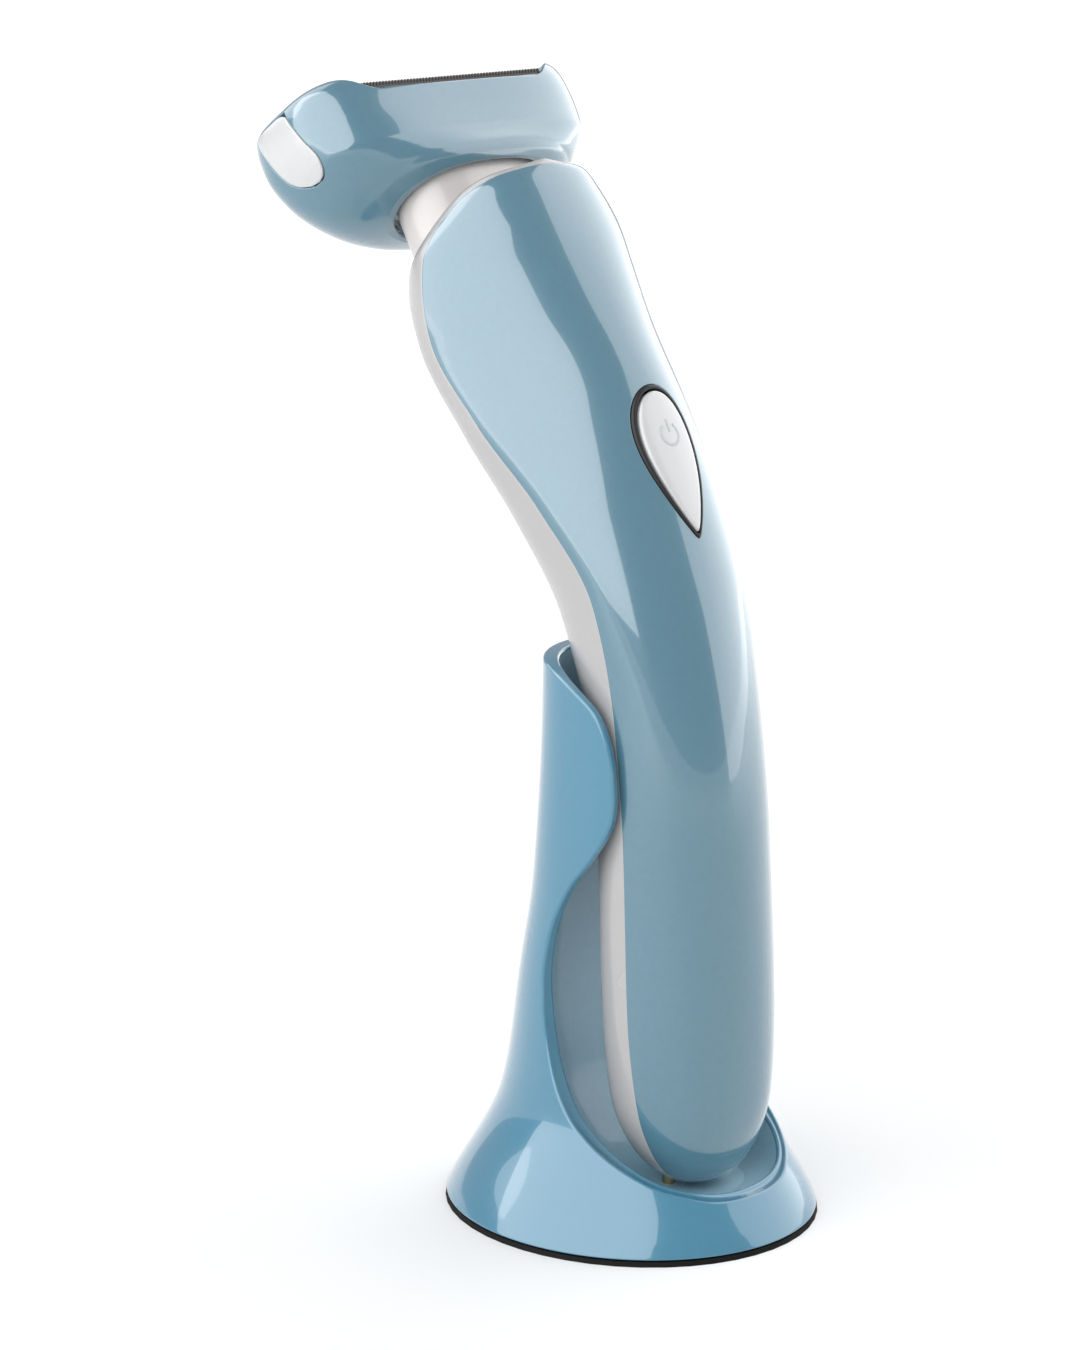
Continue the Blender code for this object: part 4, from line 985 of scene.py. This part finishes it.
FLOOR = 4                 # half of the floor's side, in metres
floor_mesh = bpy.data.meshes.new("floor")
floor_mesh.from_pydata([(-FLOOR, -FLOOR, 0), (FLOOR, -FLOOR, 0), (FLOOR, FLOOR, 0), (-FLOOR, FLOOR, 0)],
                       [], [(0, 1, 2, 3)])
floor = bpy.data.objects.new("floor", floor_mesh)
bpy.context.scene.collection.objects.link(floor)
floor_mesh.materials.append(floor_material())


def softbox(name, azimuth, elevation, roll, width, height, radiance, reflected):
    """Large soft light one metre off, which either only shows as a reflection or only gives light.

    Angles are in degrees, azimuth from +Y towards +X; sizes are in metres.
    """
    data = bpy.data.lights.new(name, "AREA")
    data.shape = "RECTANGLE"
    data.size, data.size_y = width, height
    data.energy = radiance * math.pi * width * height
    light = bpy.data.objects.new(name, data)
    bpy.context.scene.collection.objects.link(light)
    a, e = math.radians(azimuth), math.radians(elevation)
    away = Vector((math.sin(a) * math.cos(e), math.cos(a) * math.cos(e), math.sin(e)))
    light.location = MIDDLE + away
    towards = (MIDDLE - light.location).to_track_quat("-Z", "Y").to_matrix()
    light.rotation_euler = (towards @ Matrix.Rotation(math.radians(roll), 3, "Z")).to_euler()
    light.visible_camera = False
    light.visible_glossy = reflected
    light.visible_diffuse = not reflected


MIDDLE = Vector((0.0, 0.01, 0.09))
softbox("card_left", 275, 33, 12, 2.2, 1.5, 3.4, True)
softbox("card_far_left", 338, 42, 0, 0.9, 1.2, 1.9, True)
softbox("card_right", 108, 24, -5, 2.0, 1.3, 2.0, True)
softbox("light_left", 268, 30, 0, 1.6, 1.1, 1.9, False)
softbox("light_right", 104, 30, 0, 1.6, 1.1, 1.9, False)

world = bpy.data.worlds.new("room")
world.use_nodes = True
background = world.node_tree.nodes["Background"]
background.inputs["Color"].default_value = (0.95, 0.97, 1.0, 1)
background.inputs["Strength"].default_value = 0.5
bpy.context.scene.world = world

CAMERA_AT, CAMERA_TARGET = Vector((-0.4254, -0.4197, 0.2300)), Vector((0, 0.02084, 0.0823))
camera_data = bpy.data.cameras.new("camera")
camera_data.lens = 105.84
camera_data.sensor_width = 36.0
camera = bpy.data.objects.new("camera", camera_data)
bpy.context.scene.collection.objects.link(camera)
camera.location = CAMERA_AT
camera.rotation_euler = (CAMERA_TARGET - CAMERA_AT).to_track_quat("-Z", "Y").to_euler()
bpy.context.scene.camera = camera
bpy.context.scene.view_settings.view_transform = "Standard"
